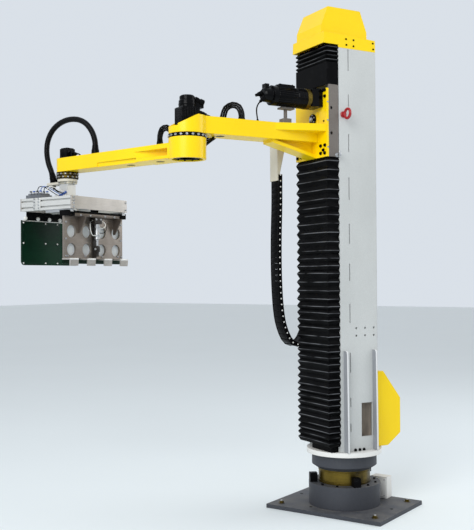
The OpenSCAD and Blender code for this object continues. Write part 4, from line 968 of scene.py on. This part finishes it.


# black plate with screws in the drum's open bottom as painted shade inside the drum, plates in the openings, wrist
# motor's fins, bolts and bands
def forearmParts(s):
    fit, (r, z), w, top = fitter("elbow", "forearm"), s["drum"], robot["reachFore"], robot["beamTop"]
    plate = [(r, 0.006), (r, 0.010), (r - 0.006, 0.0105), (0.04, 0.0105), (0.038, 0.006)]
    # black plate standing in for the shade inside the open drum
    fit("drumPlate", turned(plate, (0, 0, z), sides=64), "black_steel")
    spots = ringSpots((0, 0, z + 0.006), s["drumRing"], np.arange(0, 360, 36))[0]
    fit("drumScrewsBelow", screws(0.0042, 1.2, spots, downZ), "black_steel")
    plugs = [turned(s["opening"], (w * k, 0, robot["beamZ"] + 0.0008), sides=40) for k in s["openings"]]
    fit("foreHolePlugs", together(plugs), "black_steel")
    c, steps = np.array([w, 0, top]), np.linspace(-s["finSpread"], s["finSpread"], s["fins"])
    fit("wristMotorFins", motorFins(c, s["half"], steps, s), "motor_black")
    foot, cap = s["foot"], s["cap"]
    fit("wristMotorFoot", roundBlock(c + (-foot, -foot, -0.0005), c + (foot, foot, 0.006), 0.003), "motor_black")
    fit("wristMotorCap", roundBlock(c + (-cap, -cap, 0.052), c + (cap, cap, 0.058), 0.004), "motor_black")
    back = c + (-s["half"], 0, s["plugZ"])
    fit("wristMotorPlug", turned(s["plug"], back - (0.024, 0, 0), (-1, 0, 0), 20), "chain_black")
    first = back - (0.043, 0, 0)
    lead = smoothRoute([first, first + (-0.014, 0, -0.001), first + (-0.028, 0, -0.008), first + (-0.037, 0, -0.0215)], 5)
    hosePiece("wristMotorLead", "elbow", lead, 0.0068, alongY, body="forearm")
    rows = [ringScrews(0.0042, 1.15, (w, 0, robot["wristZ"] + height), s["boltRing"],
                       (np.arange(s["bolts"]) + turnBy) * 360 / s["bolts"]) for height, turnBy in s["boltRows"]]
    fit("wristBolts", together(rows), "bright_steel")
    fit("wristBands", bands(s["band"], s["bandZ"], (w, 0, robot["wristZ"]), alongZ, 72), "black_steel")


forearmParts(foreSettings)
print("arm fitted")

gripSettings = {"padScrews": [(x, -0.1495, z) for x in (0.173, 0.017, -0.070, -0.222) for z in (1.482, 1.375, 1.270)],
                "domes": [(x, -0.1517, 1.5055) for x in (0.158, 0.070, -0.012, -0.089, -0.170)],
                "dome": [(0.0105, 0), (0.0105, 0.003), (0.0094, 0.007), (0.0064, 0.0098), (0.0024, 0.0108)],
                "jointEnds": (0.1865, -0.2365), "jointPlate": ((-0.0600, 1.5410), (-0.0090, 1.6040), 0.005),
                "jointBolts": [(y, z) for y in (-0.051, -0.0195) for z in (1.5985, 1.5825, 1.5665, 1.5505)],
                "plateBolts": [(0.165, 1.599), (0.165, 1.583), (0.165, 1.567), (0.165, 1.550), (-0.222, 1.592),
                               (-0.222, 1.553)], "plateFaces": ((0.2115, 1), (-0.1615, -1)),
                "lid": 0.018, "valveTall": 0.009, "valveY": (-0.112, -0.088, -0.064, -0.040), "portX": (0.108, 0.154),
                "fitting": [(0.0060, 0), (0.0060, 0.004), (0.0050, 0.005), (0.0050, 0.008)],
                "collar": [(0.0062, 0.008), (0.0070, 0.009), (0.0070, 0.0125), (0.0058, 0.0135)],
                "port": [(0.0050, -0.0008), (0.0050, 0.004), (0.0062, 0.005), (0.0062, 0.010)],
                "postPorts": ((-0.020, 0.020), (-0.006, 0.026), (0.008, 0.032), (0.020, 0.038)), "postX": 0.0304,
                "tubes": ("hose_black", "blue_tube", "hose_black", "white_nylon"), "tube": 0.0042,
                "inlet": (-0.049, -0.030), "sleeve": [(0.010, -0.0005), (0.010, 0.007), (0.0066, 0.010), (0.0053, 0.022)],
                "grommet": [(0.0105, 0), (0.0105, 0.004), (0.007, 0.007), (0.0052, 0.014)],
                "feet": [(x, y) for x in (-0.042, 0.042) for y in (-0.030, 0.030)], "footTall": 0.022, "flangeRing": 0.045}


# screws, joint plates, spacers and valves of the gripper's frame
def gripperParts(s):
    fit, top = fitter("wrist", "tool"), robot["frameTop"]
    fit("padScrews", screws(0.0034, 1.3, s["padScrews"], alongY), "white_nylon", "pale_sheet")
    fit("spacerDomes", atSpots(turned(s["dome"], sides=24), s["domes"], alongY), "white_nylon", "pale_sheet")
    fit("padRail", roundBlock((-0.232, -0.1600, 1.4905), (0.182, -0.1490, 1.4955), 0.0012), "aluminium")
    near, far = s["jointEnds"]
    (y0, z0), (y1, z1), thick = s["jointPlate"]
    fit("jointPlates", together([roundBlock((x, y0, z0), (x + thick, y1, z1), 0.0015) for x in (near - thick, far)]), "aluminium")
    heads = [screws(0.0042, 1.25, [(x, y, z) for y, z in s["jointBolts"]], (e, 0, 0)) for x, e in ((near, 1), (far, -1))]
    fit("jointBolts", together(heads), "bright_steel")
    heads = [screws(0.0045, 1.3, [(x, y, z) for x, z in s["plateBolts"]], (0, e, 0)) for y, e in s["plateFaces"]]
    fit("sidePlateBolts", together(heads), "bright_steel")
    lid, high = top + s["lid"], top + s["lid"] + s["valveTall"]
    bodies = [roundBlock((0.097, y - 0.0095, lid - 0.001), (0.165, y + 0.0095, high), 0.002) for y in s["valveY"]]
    fit("valveBodies", together(bodies), "valve_grey")
    spots = [(x, y, high) for x in s["portX"] for y in s["valveY"]]
    collar = turned(s["collar"], sides=18)
    fit("valveFittings", atSpots(turned(s["fitting"], sides=18), spots, alongZ), "bright_steel")
    fit("valveCollars", atSpots(collar, spots[1::2], alongZ), "blue_fitting", "valve_grey")
    fit("valvePlugs", atSpots(collar, spots[::2], alongZ), "chain_black")
    goals = [(s["postX"], y, top + z) for y, z in s["postPorts"]]
    for k, (spot, goal) in enumerate(zip(spots, goals)):
        reach = (0.079 - 0.007 * k, 0.035 - 0.003 * k)
        tube = leadRoute(np.array(spot) + (0, 0, 0.012), alongZ, np.array(goal) + (0.010, 0, 0), (-1, 0, 0), reach)
        hosePiece("airTube" + "ABCD"[k], "wrist", tube, s["tube"], (0.3, 0.9, 0.2), finish=s["tubes"][k], sides=10, body="tool")
    fit("postPorts", atSpots(turned(s["port"], sides=16), goals, alongX), "blue_fitting", "valve_grey")
    low = toRow("elbow", (hoseSettings["toolX"], 0, robot["plateTop"] - 0.012)) - places["wrist"][1]
    inlet = np.array([*s["inlet"], top])
    drop = leadRoute(low, downZ, inlet + (0, 0, 0.0005), downZ, (0.055, 0.055))
    hosePiece("plateLead", "wrist", drop, 0.007, (1, 0.2, 0), body="tool")
    fit("plateLeadSleeve", turned(s["sleeve"], low, downZ, 22), "chain_black")
    fit("frameGrommet", turned(s["grommet"], inlet - (0, 0, 0.0005), sides=22), "chain_black")
    lowest, highest = top - 0.0005, top + s["footTall"]
    feet = [roundBlock((x - 0.012, y - 0.012, lowest), (x + 0.012, y + 0.012, highest), 0.002) for x, y in s["feet"]]
    fit("postFeet", together(feet), "aluminium")
    fit("postFootBolts", screws(0.0042, 1.2, [(x, y, highest) for x, y in s["feet"]], alongZ), "bright_steel")
    flangeHeads = ringSpots((0, 0, robot["plateTop"] - 0.006), s["flangeRing"], np.arange(30, 390, 60))[0]
    fit("toolFlangeBolts", screws(0.0045, 1.2, flangeHeads, downZ), "bright_steel")


gripperParts(gripSettings)

jawSettings = {"bottom": 1.2897, "clawX": -0.025, "clawY": 0.1895, "claws": (-0.211, -0.087, 0.037, 0.161),
               "webs": (-0.178, 0.088), "webReach": 0.056, "webDrop": 0.086, "lip": (-0.192, 0.142),
               "loopOut": 0.035, "loopWide": 0.025, "loopBulge": 0.009, "ends": (-0.236, 0.174),
               "lipScrews": (-0.150, -0.080, 0.030, 0.100), "barBolts": (-0.205, 0.155),
               "cylinder": [(0.0124, 0), (0.0131, 0.0008), (0.0131, 0.008), (0.0125, 0.009), (0.0125, 0.020),
                            (0.0131, 0.021), (0.0131, 0.026), (0.0125, 0.027), (0.0125, 0.062), (0.0133, 0.063),
                            (0.0133, 0.078), (0.0124, 0.079)],
               "rod": [(0.0062, 0), (0.0062, 0.026), (0.0085, 0.027), (0.0085, 0.033), (0.006, 0.034)],
               "pin": [(0.006, 0), (0.006, 0.030), (0.005, 0.031)], "pinHead": [(0.0075, 0), (0.0075, 0.004)],
               "tubes": ((1, 0.012, "white_nylon"), (1, 0.046, "hose_black"), (-1, 0.026, "hose_black"),
                         (-1, 0.052, "white_nylon")), "tube": 0.0042}   # side, height, finish


# gussets and lip of the jaw in a darker stainless that paints shade, screws of its plate, links and tubes of the claw
# drive, bolts of the bar, and claw bends in a near-white stainless that paints a highlight
def jawParts(s):
    fit, f, top, low = fitter("wrist", "jaw"), robot["jawFace"], robot["blockZ"], s["bottom"]
    x, y, (lip0, lip1) = s["clawX"], s["clawY"], s["lip"]
    spots = [(a, f, z) for a in s["ends"] for z in (low + 0.012, low + 0.100, top - 0.030)]
    spots += [(a, f, low + 0.012) for a in s["claws"]] + [(a, f + 0.0318, top + 0.0065) for a in s["lipScrews"]]
    fit("jawScrews", screws(0.0042, 1.3, spots, alongY), "bright_steel")
    root, reach, under, drop = f + 0.0002, f + s["webReach"], top - 0.0020, top - s["webDrop"]
    web = [(root, under), (reach, under), (reach, top - 0.011), (f + 0.012, drop), (root, drop)]
    # gussets and lip take the darker stainless: painted shade under the frame
    fit("jawGussets", together([edgePlate(web, a, 0.0068, 0.0008) for a in s["webs"]]), "gusset_steel", "stainless")
    lip = together([roundBlock((lip0, f + 0.0298, top - 0.0016), (lip1, f + 0.0320, top + 0.0145), 0.0007),
                    roundBlock((lip0, f + 0.0004, top - 0.0016), (lip1, f + 0.0312, top + 0.0004), 0.0007)])
    fit("jawLip", lip, "gusset_steel", "stainless")
    # bends at the top of the claws' lips, near white: a painted highlight
    bends = [roundBlock((a - 0.0284, f + 0.0405, low - 0.0086), (a + 0.0284, f + 0.0506, low + 0.0006), 0.003)
             for a in s["claws"]]
    fit("clawBends", together(bends), "bend_steel", "stainless")
    fit("barBolts", screws(0.0050, 1.2, [(a, f + 0.0328, top + 0.012) for a in s["barBolts"]], alongY), "black_steel")
    head = together([screws(0.0042, 1.3, [(x + e * 0.017, f + 0.036, top - 0.012) for e in (-1, 1)], alongY),
                     turned(s["cylinder"], (x, y, low + 0.100), sides=36),
                     turned(s["rod"], (x, y + 0.0005, low + 0.066), sides=24),
                     turned(s["pin"], (x - 0.015, y, low + 0.050), alongX, 20),
                     turned(s["pinHead"], (x - 0.018, y, low + 0.050), alongX, 6)])
    fit("clawFittings", head, "bright_steel")
    knuckle = roundBlock((x - 0.0118, y - 0.0098, low + 0.0352), (x + 0.0118, y + 0.0098, low + 0.0648), 0.002)
    fit("clawKnuckles", knuckle, "claw_steel", "bright_steel")
    t = np.radians([-90, -55, -18, 18, 55, 90])
    for letter, (e, up, finish) in zip("ABCD", s["tubes"]):
        start = np.array([x + e * 0.010, y + 0.004, low + 0.108 + up])
        end = np.array([x + e * 0.0255, f + 0.022, top - 0.018])
        mid, half = (start + end) / 2, (end - start) / 2   # half an upright ellipse, a straight run at both ends
        loop = np.stack([x + e * (s["loopOut"] + min(half[2], s["loopWide"]) * np.cos(t)),
                         mid[1] + half[1] * np.sin(t) + s["loopBulge"] * np.cos(t), mid[2] + half[2] * np.sin(t)], -1)
        tube = smoothRoute(np.concatenate([[start], loop, [end]]), 4)
        hosePiece("clawTube" + letter, "wrist", tube, s["tube"], (0.1, 1, 0.1), finish=finish, sides=10, body="jaw")


jawParts(jawSettings)
print("gripper fitted")

# pale floor and soft light; the lamps stay at a plain level
stageSettings = {"floor": (0.82, 0.89, 0.92, 1), "back": (0.70, 0.75, 0.81, 1), "light": (0.97, 0.98, 1.0, 1),
                 "lightStrength": 0.66, "floorHalf": 30, "floorSteps": 41, "lampSize": 3.5, "aim": (0.3, -0.3, 1.2),
                 "lamps": {"key": ((5.7, 0.7, 4.4), 230), "rim": ((-3.2, 2.6, 3.6), 90)}}   # place, power


# a level floor, a world that shows one colour and lights with another, two lamps turned to one point
def stage(s):
    steps = np.linspace(-s["floorHalf"], s["floorHalf"], s["floorSteps"])
    v, u = np.meshgrid(steps, steps, indexing="ij")
    mesh = bpy.data.meshes.new("floor")
    mesh.from_pydata(np.stack([u, v, 0 * u], -1).reshape(-1, 3).tolist(), [], gridFaces(*u.shape).tolist())
    floor = newObject("floor", mesh)
    shader, at, normal = newFinish("floorPaint")
    feed(shader, Base_Color=at.noise(0.7, 3).mix(s["floor"], tuple(0.97 * c for c in s["floor"])),
         Roughness=0.55 + at.noise(3, 2) * 0.1)
    mesh.materials.append(finishes["floorPaint"])
    world = bpy.data.worlds.new("softWorld")
    bpy.context.scene.world = world
    world.use_nodes = True
    tree = world.node_tree
    rays = tree.nodes.new("ShaderNodeLightPath").outputs
    camera, glossy, clear = (Tone(tree, rays["Is %s Ray" % k]) for k in ("Camera", "Glossy", "Transmission"))
    seen = camera.maths("MAXIMUM", glossy.maths("MAXIMUM", clear))
    feed(tree.nodes["Background"], Color=seen.mix(s["light"], s["back"]),
         Strength=s["lightStrength"] + seen * (1 - s["lightStrength"]))
    for name, (spot, power) in s["lamps"].items():
        lamp = newObject(name, bpy.data.lights.new(name, "AREA"))
        lamp.data.size, lamp.data.energy, lamp.location = s["lampSize"], power, spot
        lamp.rotation_mode = "QUATERNION"
        lamp.rotation_quaternion = (Vector(s["aim"]) - lamp.location).to_track_quat("-Z", "Y")
    bpy.context.scene.view_settings.view_transform = "Standard"


stage(stageSettings)
print("stage lit")
